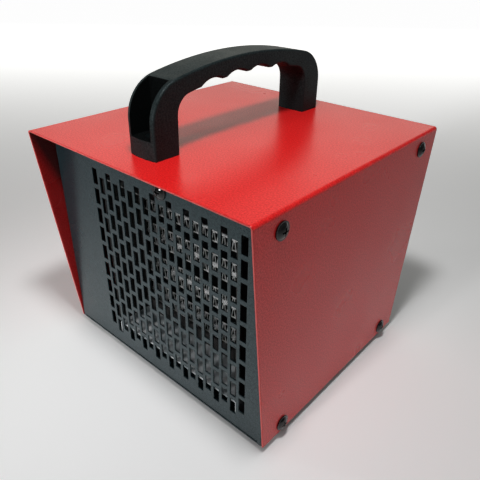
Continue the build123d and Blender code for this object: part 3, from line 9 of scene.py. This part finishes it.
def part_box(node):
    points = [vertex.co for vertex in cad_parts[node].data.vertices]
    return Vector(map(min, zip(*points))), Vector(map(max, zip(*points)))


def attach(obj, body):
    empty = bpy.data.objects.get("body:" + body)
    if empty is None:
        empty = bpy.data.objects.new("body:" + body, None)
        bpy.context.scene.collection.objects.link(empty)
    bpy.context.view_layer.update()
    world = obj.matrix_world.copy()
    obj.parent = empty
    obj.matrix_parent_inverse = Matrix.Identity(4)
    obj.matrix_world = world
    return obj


# The looks of the forced air heater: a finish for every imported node, printed dials and a studio.
# Metres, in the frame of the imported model: +X right, +Y to the rear, +Z up, floor at z = 0.

# ---------------------------------------------------------------- camera and surroundings

# Camera, solved from the case's corners in the 480 x 480 photograph
CAMERA_PLACE = Vector((0.22746, -0.25572, 0.28202))
CAMERA_TURN = 41.204         # degrees round the part, from straight ahead
CAMERA_RISE = 29.716         # degrees above level
CAMERA_ROLL = 0.912          # degrees
PHOTO_SIDE = 480
FOCAL_PIXELS = 506.35
CENTRE_ABOVE_MIDDLE = 5      # pixels from the photograph's middle up to the optical axis
SENSOR = 36.0
NEAREST = 0.01               # nearest distance that the camera draws

# Sky: its strength below and above two heights of its direction, from 0 level to 1 overhead
SKY_STRENGTH = (0.10, 0.19)
SKY_HEIGHTS = (0.5, 0.95)

# Floor, and the glow that makes it a backdrop: its way, where it starts and is full, its strength
FLOOR_SIZE = 40.0
FLOOR_GREY = (0.93, 0.93, 0.93)
GLOW_WAY = (-0.66, 0.75, 0.0)
GLOW_DISTANCES = (0.0, 1.40)
GLOW_STRENGTH = (0.0, 0.85)

# ---------------------------------------------------------------- colours and sizes of the finishes

# Tints of the reflections
WHITE = (1.0, 1.0, 1.0)
PANEL_TINT = (0.70, 0.96, 1.0)
HANDLE_TINT = (0.82, 0.97, 1.0)

# Colours, linear
RED = (0.600, 0.0110, 0.0110)
# Painted highlight for the cover's cut edges
EDGE_HIGHLIGHT_RED = (0.75, 0.09, 0.08)
PANEL_GREY = (0.010, 0.018, 0.022)
HANDLE_BLACK = (0.0075, 0.0120, 0.0126)
# Painted shade for the handle's wells
WELL_SHADE_BLACK = (0.0015, 0.0015, 0.0015)
SCREW_BLACK = (0.002, 0.002, 0.0023)
SCREW_WORN = (0.015, 0.015, 0.015)
PRINT_WHITE = (0.70, 0.70, 0.68)
# Painted highlight for the fins' front edges, painted shade for their sides
FIN_FRONT_HIGHLIGHT = (0.98, 0.99, 1.0)
FIN_SIDE_SHADE = (0.03, 0.034, 0.036)
ZINC_DARK = (0.26, 0.28, 0.29)
ZINC_LIGHT = (0.62, 0.65, 0.66)
FLOOR_ZINC_DARK = (0.17, 0.22, 0.24)
FLOOR_ZINC_LIGHT = (0.80, 0.82, 0.84)
RUBBER_BLACK = (0.010, 0.010, 0.010)
RUBBER_DUST = (0.030, 0.029, 0.027)
CERAMIC_DARK = (0.05, 0.05, 0.05)
CERAMIC_LIGHT = (0.11, 0.10, 0.10)
COPPER_DARK = (0.20, 0.06, 0.02)
COPPER_BRIGHT = (0.62, 0.24, 0.10)

# Ranges that maps of values start from: a whole share, and what noise mostly stays within
SHARE = (0.0, 1.0)
NOISE_RANGE = (0.3, 0.7)

SPECKLE = 0.0010             # grain of the fine speckle in paint and plastic
SPANGLE = 0.0055             # size of the crystals in the zinc
WINDING = 0.0022             # pitch of the copper turns
# The fins' painted highlight reaches this deep behind their front edges
FIN_HIGHLIGHT_DEPTH = 0.0007            # depth of the fins' bright front edges

# Cover: its faces deeper in its box than this are inner ones, and those under the roof get a
# painted shadow.
# The painted shadow's edge is measured down from the roof and, times the slope, back from its front
# edge.
COVER_SKIN = 0.0008
SHADOW_EDGE_SLOPE = 2.4
SHADOW_EDGE_SPAN = (-0.014, 0.004)
# How strongly the painted shadow covers the red, and how dark a red it is painted in
PAINTED_SHADOW_STRENGTH = (0.30, 0.97)
PAINTED_SHADOW_SHADE = 0.08

# Wells in the handle's legs: side wall, depth from the end and height of the floor
WELL_WALL = 0.0028
WELL_DEPTH = 0.0171
WELL_FLOOR = 0.0116
# Painted shade in the wells: the shares of colour and gloss that it takes away
WELL_SHADE = 0.9              # share of the plastic's colour that the wells lose
WELL_SHADE_GLOSS_LOSS = 0.8          # share of its gloss that they lose

# Printed dials
PRINT_LIFT = 0.00003         # printed marks stand this far off the panel
PRINT_DEPTH = 0.00006        # and their fronts this far
MARK_GAP = 0.0018            # from the knob to the marks
MARK_LENGTH = 0.0018         # of the first mark
MARK_GROWTH = 0.0022         # how much longer the last one is
MARK_WIDTH = 0.0007          # of the first mark; the last is twice as wide

# ---------------------------------------------------------------- helpers


def add_object(name, data):
    """A new object in the scene."""
    thing = bpy.data.objects.new(name, data)
    bpy.context.scene.collection.objects.link(thing)
    return thing


def add_node(tree, kind, inputs=None, **settings):
    """A new shader node with its settings and constant inputs."""
    node = tree.nodes.new(kind)
    for name, value in settings.items():
        setattr(node, name, value)
    for name, value in (inputs or {}).items():
        node.inputs[name].default_value = value
    return node


def link(tree, output, target):
    tree.links.new(output, target)


def feed(tree, shader, **outputs):
    """Links outputs to the shader's sockets, whose names have underscores for spaces."""
    for socket, output in outputs.items():
        link(tree, output, shader.inputs[socket.replace("_", " ")])


def rgba(colour):
    return (*colour, 1.0)


def shade(colour, amount):
    return tuple(min(1.0, channel * amount) for channel in colour)


def new_material(name, **values):
    """A material whose Principled shader has the given constant values."""
    material = bpy.data.materials.new(name)
    material.use_nodes = True
    tree = material.node_tree
    shader = tree.nodes["Principled BSDF"]
    for socket, value in values.items():
        shader.inputs[socket.replace("_", " ")].default_value = value
    return material, tree, shader


def coordinates(tree, stretch=(1, 1, 1)):
    """Coordinates on the object, in metres, stretched along an axis if the finish has a grain."""
    source = add_node(tree, "ShaderNodeTexCoord")
    mapping = add_node(tree, "ShaderNodeMapping")
    mapping.inputs["Scale"].default_value = stretch
    link(tree, source.outputs["Object"], mapping.inputs["Vector"])
    return mapping.outputs["Vector"]


def split(tree, vector):
    """The three parts of a vector."""
    node = add_node(tree, "ShaderNodeSeparateXYZ")
    link(tree, vector, node.inputs["Vector"])
    return node.outputs


def noise(tree, where, grain, detail=3.0):
    """Noise whose features are about as large as grain, in metres."""
    node = add_node(
        tree, "ShaderNodeTexNoise", {"Scale": 1.0 / grain, "Detail": detail, "Roughness": 0.55}
    )
    link(tree, where, node.inputs["Vector"])
    return node.outputs["Fac"]


def spread(tree, value, target, source=NOISE_RANGE, curve="LINEAR"):
    """A value remapped from its usual range to the target's, and kept within it."""
    ends = {"From Min": source[0], "From Max": source[1], "To Min": target[0], "To Max": target[1]}
    node = add_node(tree, "ShaderNodeMapRange", ends, interpolation_type=curve)
    link(tree, value, node.inputs["Value"])
    return node.outputs["Result"]


def speckle(tree, where):
    """A fine speckle from 0 to 1."""
    return spread(tree, noise(tree, where, grain=SPECKLE, detail=2.0), SHARE)


def compute(tree, operation, first, *others):
    """The output of a maths node whose inputs are sockets or constants."""
    node = add_node(tree, "ShaderNodeMath", operation=operation)
    for index, value in enumerate((first, *others)):
        if isinstance(value, bpy.types.NodeSocket):
            link(tree, value, node.inputs[index])
        else:
            node.inputs[index].default_value = value
    return node.outputs[0]


def blend_colours(tree, factor, first, second):
    """One colour where the factor is zero, another where it is one."""
    colours = {"A": rgba(first), "B": rgba(second)}
    node = add_node(tree, "ShaderNodeMix", colours, data_type="RGBA")
    link(tree, factor, node.inputs["Factor"])
    return node.outputs["Result"]


def overlay(tree, socket, colour, factor):
    """Lays one more colour over whatever feeds a socket."""
    mix = add_node(tree, "ShaderNodeMix", {"B": rgba(colour)}, data_type="RGBA")
    link(tree, socket.links[0].from_socket, mix.inputs["A"])
    link(tree, factor, mix.inputs["Factor"])
    link(tree, mix.outputs["Result"], socket)


def relief(tree, shader, height, depth, strength, round_edges=0.0):
    """Bump of a real depth, over edges softened by a small radius."""
    bump = add_node(tree, "ShaderNodeBump", {"Strength": strength, "Distance": depth})
    link(tree, height, bump.inputs["Height"])
    if round_edges:
        bevel = add_node(tree, "ShaderNodeBevel", {"Radius": round_edges}, samples=4)
        link(tree, bevel.outputs["Normal"], bump.inputs["Normal"])
    link(tree, bump.outputs["Normal"], shader.inputs["Normal"])


# ---------------------------------------------------------------- finishes


def powder_coat(name, colour, roughness, shine, peel=0.0011, edge=0.0004, tint=WHITE):
    """Stoved powder paint: orange peel, a fine speckle and slightly uneven gloss."""
    material, tree, shader = new_material(name, IOR=1.5, Specular_Tint=rgba(tint))
    where = coordinates(tree)
    fleck = speckle(tree, where)
    cloud = noise(tree, where, grain=0.05, detail=2.0)
    feed(
        tree,
        shader,
        Base_Color=blend_colours(tree, fleck, shade(colour, 0.76), shade(colour, 1.24)),
        Specular_IOR_Level=spread(tree, fleck, (0.65 * shine, 1.35 * shine), SHARE),
        Roughness=spread(tree, cloud, (roughness - 0.03, roughness + 0.04)),
    )
    height = noise(tree, where, grain=peel, detail=2.0)
    relief(tree, shader, height, depth=0.00002, strength=0.35, round_edges=edge)
    return material


def cover_paint(name, cover):
    """Red coat on the cover: painted highlights on the cut edges, a painted shadow in the corner
    under the roof.
    """
    material = powder_coat(name, RED, roughness=0.29, shine=0.40, edge=0.0014)
    tree = material.node_tree
    coat = tree.nodes["Principled BSDF"].inputs["Base Color"]
    low, high = cover
    x, y, z = split(tree, coordinates(tree))
    # Painted shadow: inner faces under the roof are darkened where the roof's shadow falls, its
    # edge sloping back from the front.
    inside = compute(tree, "COMPARE", x, 0.0, high.x - COVER_SKIN)
    below = compute(tree, "LESS_THAN", z, high.z - COVER_SKIN)
    back = compute(tree, "MULTIPLY_ADD", y, SHADOW_EDGE_SLOPE, -SHADOW_EDGE_SLOPE * low.y - high.z)
    shadow_edge = spread(tree, compute(tree, "ADD", z, back), PAINTED_SHADOW_STRENGTH, SHADOW_EDGE_SPAN)
    painted_shadow = compute(tree, "MULTIPLY", compute(tree, "MULTIPLY", inside, below), shadow_edge)
    overlay(tree, coat, shade(RED, PAINTED_SHADOW_SHADE), painted_shadow)
    # Painted highlight: a lighter red on the sheet's cut edges, which face front and back.
    facing = split(tree, add_node(tree, "ShaderNodeNewGeometry").outputs["True Normal"])
    edge_highlight = spread(tree, compute(tree, "ABSOLUTE", facing[1]), (0.0, 0.9), (0.8, 0.9))
    overlay(tree, coat, EDGE_HIGHLIGHT_RED, edge_highlight)
    return material


def moulded_plastic(name, colour, roughness=0.5, shine=0.3, edge=0.0003, tint=WHITE):
    """Injection-moulded plastic with a fine spark-eroded grain."""
    material, tree, shader = new_material(name, IOR=1.48, Specular_Tint=rgba(tint))
    where = coordinates(tree)
    fleck = speckle(tree, where)
    scuff = spread(tree, noise(tree, where, grain=0.012, detail=4.0), (0.0, 0.5), (0.35, 0.75))
    tone = compute(tree, "MULTIPLY_ADD", fleck, 0.5, scuff)
    cloud = noise(tree, where, grain=0.02)
    feed(
        tree,
        shader,
        Base_Color=blend_colours(tree, tone, shade(colour, 0.7), shade(colour, 1.5)),
        Specular_IOR_Level=spread(tree, fleck, (0.4 * shine, 1.6 * shine), SHARE),
        Roughness=spread(tree, cloud, (roughness - 0.05, roughness + 0.06)),
    )
    height = noise(tree, where, grain=0.0005, detail=2.0)
    relief(tree, shader, height, depth=0.00003, strength=0.8, round_edges=edge)
    return material


def handle_plastic(name, handle):
    """The handle's plastic, with painted shade in the wells of its legs."""
    material = moulded_plastic(
        name, HANDLE_BLACK, roughness=0.50, shine=0.18, edge=0.0007, tint=HANDLE_TINT
    )
    tree = material.node_tree
    shader = tree.nodes["Principled BSDF"]
    low, high = handle
    middle = (low + high) / 2
    x, y, z = split(tree, coordinates(tree))
    between = compute(tree, "COMPARE", x, middle.x, high.x - middle.x - WELL_WALL)
    inward = compute(tree, "COMPARE", y, middle.y, high.y - middle.y - WELL_DEPTH)
    above = compute(tree, "GREATER_THAN", z, low.z + WELL_FLOOR)
    well = compute(tree, "MULTIPLY", compute(tree, "SUBTRACT", between, inward), above)
    well = compute(tree, "MAXIMUM", well, 0.0)
    # Painted shade: the wells' colour is darkened and their gloss cut, as shade in the recesses.
    dust_and_shade = compute(tree, "MULTIPLY", well, WELL_SHADE)
    overlay(tree, shader.inputs["Base Color"], WELL_SHADE_BLACK, dust_and_shade)
    shine = shader.inputs["Specular IOR Level"]
    kept = compute(tree, "MULTIPLY_ADD", well, -WELL_SHADE_GLOSS_LOSS, 1.0)
    link(tree, compute(tree, "MULTIPLY", shine.links[0].from_socket, kept), shine)
    return material


def plain_metal(name, colour, roughness, stretch=(1, 1, 1)):
    """Bare or plated metal with a drawn or tumbled grain."""
    material, tree, shader = new_material(name, Metallic=1.0)
    streak = noise(tree, coordinates(tree, stretch), grain=0.0006)
    feed(
        tree,
        shader,
        Base_Color=blend_colours(tree, spread(tree, streak, SHARE), shade(colour, 0.82), colour),
        Roughness=spread(tree, streak, (roughness - 0.06, roughness + 0.08)),
    )
    relief(tree, shader, streak, depth=0.00002, strength=0.5, round_edges=0.0002)
    return material


def fin_metal(name, front):
    """Aluminium fins: a painted highlight on the front edges, and painted shade on the sides behind
    them.
    """
    material, tree, shader = new_material(name, Metallic=1.0)
    where = coordinates(tree)
    # Painted highlight on each fin's front edge, fading into painted shade on its sides.
    depth = spread(tree, split(tree, where)[1], SHARE, (front + FIN_HIGHLIGHT_DEPTH / 2, front + FIN_HIGHLIGHT_DEPTH))
    stain = spread(tree, noise(tree, where, grain=0.004), (0.75, 1.15))
    tint = add_node(tree, "ShaderNodeMix", {"Factor": 1.0}, data_type="RGBA", blend_type="MULTIPLY")
    link(tree, blend_colours(tree, depth, FIN_FRONT_HIGHLIGHT, FIN_SIDE_SHADE), tint.inputs["A"])
    link(tree, stain, tint.inputs["B"])
    feed(
        tree,
        shader,
        Base_Color=tint.outputs["Result"],
        Roughness=spread(tree, depth, (0.42, 0.55), SHARE),
    )
    relief(tree, shader, noise(tree, where, grain=0.0012), depth=0.00003, strength=0.5)
    return material


def galvanised(name, metallic=1.0, dark=ZINC_DARK, light=ZINC_LIGHT):
    """Zinc-coated sheet with its mottled spangle; less metallic where it has dulled."""
    material, tree, shader = new_material(name, Metallic=metallic)
    where = coordinates(tree)
    spangle = add_node(tree, "ShaderNodeTexVoronoi", {"Scale": 1 / SPANGLE, "Randomness": 1.0})
    link(tree, where, spangle.inputs["Vector"])
    patch = add_node(tree, "ShaderNodeRGBToBW")
    link(tree, spangle.outputs["Color"], patch.inputs["Color"])
    tone = patch.outputs["Val"]
    feed(
        tree,
        shader,
        Base_Color=blend_colours(tree, tone, dark, light),
        Roughness=spread(tree, tone, (0.28, 0.50), SHARE),
    )
    height = noise(tree, where, grain=0.002)
    relief(tree, shader, height, depth=0.00003, strength=0.5, round_edges=0.0002)
    return material


def blackened_steel(name):
    """Black oxide screw: dark, fairly glossy, worn a little lighter in the cloudy patches."""
    material, tree, shader = new_material(name, IOR=1.5, Specular_IOR_Level=0.45)
    where = coordinates(tree)
    wear = spread(tree, noise(tree, where, grain=0.0012, detail=4.0), SHARE, (0.45, 0.8))
    feed(
        tree,
        shader,
        Base_Color=blend_colours(tree, wear, SCREW_BLACK, SCREW_WORN),
        Roughness=spread(tree, wear, (0.06, 0.14), SHARE),
    )
    height = noise(tree, where, grain=0.0005)
    relief(tree, shader, height, depth=0.00006, strength=0.8, round_edges=0.0003)
    return material


def rubber(name):
    """Black rubber with dust on it."""
    material, tree, shader = new_material(name, IOR=1.45, Specular_IOR_Level=0.35)
    where = coordinates(tree)
    dust_and_shade = spread(tree, noise(tree, where, grain=0.004, detail=5.0), SHARE, (0.4, 0.8))
    feed(
        tree,
        shader,
        Base_Color=blend_colours(tree, dust_and_shade, RUBBER_BLACK, RUBBER_DUST),
        Roughness=spread(tree, dust_and_shade, (0.72, 0.88), SHARE),
    )
    height = noise(tree, where, grain=0.0007)
    relief(tree, shader, height, depth=0.00004, strength=0.8, round_edges=0.0003)
    return material


def fired_ceramic(name):
    """Dark porous ceramic."""
    material, tree, shader = new_material(name, IOR=1.55)
    pores = noise(tree, coordinates(tree), grain=0.0008, detail=5.0)
    tone = spread(tree, pores, SHARE)
    feed(
        tree,
        shader,
        Base_Color=blend_colours(tree, tone, CERAMIC_DARK, CERAMIC_LIGHT),
        Roughness=spread(tree, pores, (0.75, 0.9)),
    )
    relief(tree, shader, pores, depth=0.00005, strength=0.8)
    return material


def wire_skin(name, colour):
    """Soft wire insulation, a little waxy."""
    material, tree, shader = new_material(name, IOR=1.5)
    wax = noise(tree, coordinates(tree), grain=0.003)
    tone = spread(tree, wax, SHARE)
    feed(
        tree,
        shader,
        Base_Color=blend_colours(tree, tone, shade(colour, 0.85), shade(colour, 1.1)),
        Roughness=spread(tree, wax, (0.32, 0.45)),
    )
    relief(tree, shader, wax, depth=0.00004, strength=0.6)
    return material


def copper_winding(name):
    """Enamelled wire: close parallel turns in the colour and the relief."""
    material, tree, shader = new_material(name, Metallic=0.7, Coat_Weight=0.6, Coat_Roughness=0.15)
    wave = {"Scale": 1 / WINDING, "Distortion": 0.6}
    turns = add_node(tree, "ShaderNodeTexWave", wave, bands_direction="Y")
    link(tree, coordinates(tree), turns.inputs["Vector"])
    turn = turns.outputs["Fac"]
    feed(
        tree,
        shader,
        Base_Color=blend_colours(tree, turn, COPPER_DARK, COPPER_BRIGHT),
        Roughness=spread(tree, turn, (0.28, 0.4), SHARE),
    )
    relief(tree, shader, turn, depth=0.0002, strength=0.8)
    return material


def print_ink(name):
    """White pad print, flat and slightly patchy."""
    material, tree, shader = new_material(name, IOR=1.45)
    ink = noise(tree, coordinates(tree), grain=0.0006)
    tone = spread(tree, ink, SHARE)
    feed(
        tree,
        shader,
        Base_Color=blend_colours(tree, tone, shade(PRINT_WHITE, 0.88), PRINT_WHITE),
        Roughness=spread(tree, ink, (0.5, 0.65)),
    )
    return material


def make_finishes():
    """One material for each of the record's slots."""
    return {
        "red_paint": cover_paint("red_paint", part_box("cover")),
        "grey_paint": powder_coat(
            "grey_paint", PANEL_GREY, roughness=0.24, shine=0.48, peel=0.0013, tint=PANEL_TINT
        ),
        "black_plastic": moulded_plastic(
            "black_plastic", HANDLE_BLACK, roughness=0.50, shine=0.18, tint=HANDLE_TINT
        ),
        "black_screw": blackened_steel("black_screw"),
        "zinc_screw": plain_metal("zinc_screw", (0.62, 0.62, 0.60), roughness=0.34),
        "galvanised": galvanised("galvanised"),
        "aluminium": plain_metal(
            "aluminium", (0.90, 0.91, 0.92), roughness=0.26, stretch=(1, 0.15, 1)
        ),
        "ceramic": fired_ceramic("ceramic"),
        "brass": plain_metal("brass", (0.78, 0.56, 0.24), roughness=0.28),
        "bronze": plain_metal("bronze", (0.45, 0.28, 0.15), roughness=0.45),
        "copper": copper_winding("copper"),
        "steel": plain_metal("steel", (0.48, 0.49, 0.50), roughness=0.32, stretch=(1, 0.2, 1)),
        "rubber": rubber("rubber"),
        "heat_plastic": moulded_plastic("heat_plastic", (0.010, 0.009, 0.009), roughness=0.6),
        "white_nylon": moulded_plastic("white_nylon", (0.66, 0.64, 0.57), roughness=0.5),
        "brown_wire": wire_skin("brown_wire", (0.09, 0.035, 0.018)),
        "blue_wire": wire_skin("blue_wire", (0.02, 0.06, 0.30)),
        "red_wire": wire_skin("red_wire", (0.42, 0.02, 0.02)),
        "green_wire": wire_skin("green_wire", (0.07, 0.30, 0.04)),
    }


def dress(frame):
    """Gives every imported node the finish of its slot, and a few nodes one of their own."""
    finishes = make_finishes()
    fins = fin_metal("fin_metal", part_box("heater_fins")[0].y)
    own = {
        "heater_fins": fins,
        "fin_plates": fins,
        "handle": handle_plastic("handle_plastic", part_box("handle")),
        "duct_floor": galvanised(
            "floor_zinc", metallic=0.0, dark=FLOOR_ZINC_DARK, light=FLOOR_ZINC_LIGHT
        ),
    }
    slots = {part["node"]: part["material_slot"] for part in frame["record"]["subparts"]}
    for name, node in frame["nodes"].items():
        node.data.materials.clear()
        node.data.materials.append(own.get(name) or finishes[slots[name]])


# ---------------------------------------------------------------- printed dials


def mark(start, end, width):
    """Corners of a straight printed mark between two points of the (right, up) plane."""
    along = (end - start).normalized()
    side = Vector((-along.y, along.x)) * width / 2
    return [start - side, end - side, end + side, start + side]


def dial(name, node, first, sweep, count):
    """A ring of growing marks on the rear panel round a knob, seen from behind, in degrees."""
    low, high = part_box(node)
    centre = (low + high) / 2
    inner = (high.x - low.x) / 2 + MARK_GAP
    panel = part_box("rear_panel")[1].y
    mesh = bmesh.new()
    for step in range(count):
        share = step / (count - 1)
        angle = math.radians(first + share * sweep)
        outward = Vector((-math.sin(angle), math.cos(angle)))
        outer = inner + MARK_LENGTH + MARK_GROWTH * share
        corners = mark(outward * inner, outward * outer, MARK_WIDTH * (1 + share))
        near, far = (
            [mesh.verts.new((centre.x + c.x, panel + lift, centre.z + c.y)) for c in corners]
            for lift in (PRINT_LIFT, PRINT_DEPTH)
        )
        mesh.faces.new(near)
        mesh.faces.new(reversed(far))
        for one in range(4):
            other = (one + 1) % 4
            mesh.faces.new((near[other], near[one], far[one], far[other]))
    bmesh.ops.recalc_face_normals(mesh, faces=mesh.faces)
    data = bpy.data.meshes.new(name)
    mesh.to_mesh(data)
    mesh.free()
    return add_object(name, data)


def print_dials(body):
    """The marks of both knobs, printed on the rear panel."""
    ink = print_ink("print_ink")
    dials = [
        dial("selector_marks", "selector_knob", first=-67.5, sweep=135.0, count=4),
        dial("thermostat_marks", "thermostat_knob", first=-135.0, sweep=270.0, count=13),
    ]
    for piece in dials:
        piece.data.materials.append(ink)
        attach(piece, body)


# ---------------------------------------------------------------- studio


def make_floor():
    """Pale floor that brightens into a glowing backdrop far behind the heater."""
    mesh = bpy.data.meshes.new("floor")
    half = FLOOR_SIZE / 2
    corners = [(-half, -half, 0), (half, -half, 0), (half, half, 0), (-half, half, 0)]
    mesh.from_pydata(corners, [], [(0, 1, 2, 3)])
    floor = add_object("floor", mesh)
    material, tree, shader = new_material(
        "floor", Base_Color=rgba(FLOOR_GREY), Roughness=0.9, Emission_Color=rgba(WHITE)
    )
    away = add_node(tree, "ShaderNodeVectorMath", {1: GLOW_WAY}, operation="DOT_PRODUCT")
    link(tree, coordinates(tree), away.inputs[0])
    glow = spread(tree, away.outputs["Value"], GLOW_STRENGTH, GLOW_DISTANCES, "SMOOTHSTEP")
    feed(tree, shader, Emission_Strength=glow)
    mesh.materials.append(material)


def make_world():
    """Surroundings that are bright overhead and dim near the horizon."""
    world = bpy.data.worlds.new("studio")
    bpy.context.scene.world = world
    world.use_nodes = True
    tree = world.node_tree
    background = tree.nodes["Background"]
    background.inputs["Color"].default_value = rgba(WHITE)
    way = add_node(tree, "ShaderNodeTexCoord").outputs["Generated"]
    strength = spread(tree, split(tree, way)[2], SKY_STRENGTH, SKY_HEIGHTS, "SMOOTHSTEP")
    feed(tree, background, Strength=strength)


def aim(lamp, place, target):
    """Puts a lamp at a place and turns it towards a point."""
    lamp.location = place
    lamp.rotation_euler = (Vector(target) - Vector(place)).to_track_quat("-Z", "Y").to_euler()


def softbox(name, place, target, size, power, colour=WHITE):
    """A rectangular light aimed at a point."""
    data = bpy.data.lights.new(name, "AREA")
    data.shape = "RECTANGLE"
    data.size, data.size_y = size
    data.energy = power
    data.color = colour
    aim(add_object(name, data), place, target)


def spotlight(name, place, target, cone, radius, power):
    """A snooted lamp aimed at a point, with its cone in degrees."""
    data = bpy.data.lights.new(name, "SPOT")
    data.spot_size = math.radians(cone)
    data.spot_blend = 0.6
    data.shadow_soft_size = radius
    data.energy = power
    aim(add_object(name, data), place, target)


def make_lights():
    """A key above, a large panel behind for the roof's sheen, and weaker lights for the sides."""
    softbox(
        "above_front",
        place=(0.11, -0.13, 0.56),
        target=(0.02, -0.05, 0.17),
        size=(0.07, 0.07),
        power=1.66,
    )
    softbox(
        "behind_left",
        place=(-1.10, 1.20, 0.72),
        target=(0.0, 0.0, 0.17),
        size=(2.3, 0.75),
        power=4.6,
        colour=(1.0, 1.0, 0.88),
    )
    spotlight(
        "front",
        place=(-0.10, -1.50, 0.40),
        target=(-0.075, -0.08, 0.09),
        cone=16,
        radius=0.12,
        power=74.0,
    )
    softbox(
        "glint",
        place=(-0.92, -0.62, 0.66),
        target=(0.0, -0.08, 0.16),
        size=(0.12, 0.12),
        power=0.8,
    )
    softbox(
        "right",
        place=(1.2, -0.50, 1.10),
        target=(0.1, 0.0, 0.1),
        size=(0.5, 0.5),
        power=1.0,
    )


def make_camera():
    """The photograph's camera."""
    turn = math.radians(CAMERA_TURN)
    rise = math.radians(CAMERA_RISE)
    roll = math.radians(CAMERA_ROLL)
    level_share = math.cos(rise)
    back = Vector((math.sin(turn) * level_share, -math.cos(turn) * level_share, math.sin(rise)))
    level = Vector((math.cos(turn), math.sin(turn), 0))
    upright = back.cross(level)
    right = math.cos(roll) * level + math.sin(roll) * upright
    up = -math.sin(roll) * level + math.cos(roll) * upright
    data = bpy.data.cameras.new("camera")
    data.sensor_width = SENSOR
    data.lens = FOCAL_PIXELS * SENSOR / PHOTO_SIDE
    data.shift_y = -CENTRE_ABOVE_MIDDLE / PHOTO_SIDE
    data.clip_start = NEAREST
    camera = add_object("camera", data)
    axes = Matrix((right, up, back)).transposed().to_4x4()
    camera.matrix_world = Matrix.Translation(CAMERA_PLACE) @ axes
    bpy.context.scene.camera = camera


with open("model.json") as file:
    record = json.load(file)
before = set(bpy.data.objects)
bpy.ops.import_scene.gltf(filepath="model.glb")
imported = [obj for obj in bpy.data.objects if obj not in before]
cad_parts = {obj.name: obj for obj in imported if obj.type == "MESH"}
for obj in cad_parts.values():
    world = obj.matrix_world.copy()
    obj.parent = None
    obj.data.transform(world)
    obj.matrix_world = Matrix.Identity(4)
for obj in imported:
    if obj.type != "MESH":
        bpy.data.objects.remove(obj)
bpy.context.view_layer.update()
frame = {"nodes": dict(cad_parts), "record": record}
dress(frame)
print_dials("heater")
make_floor()
make_world()
make_lights()
make_camera()
bpy.context.scene.view_settings.view_transform = "Standard"
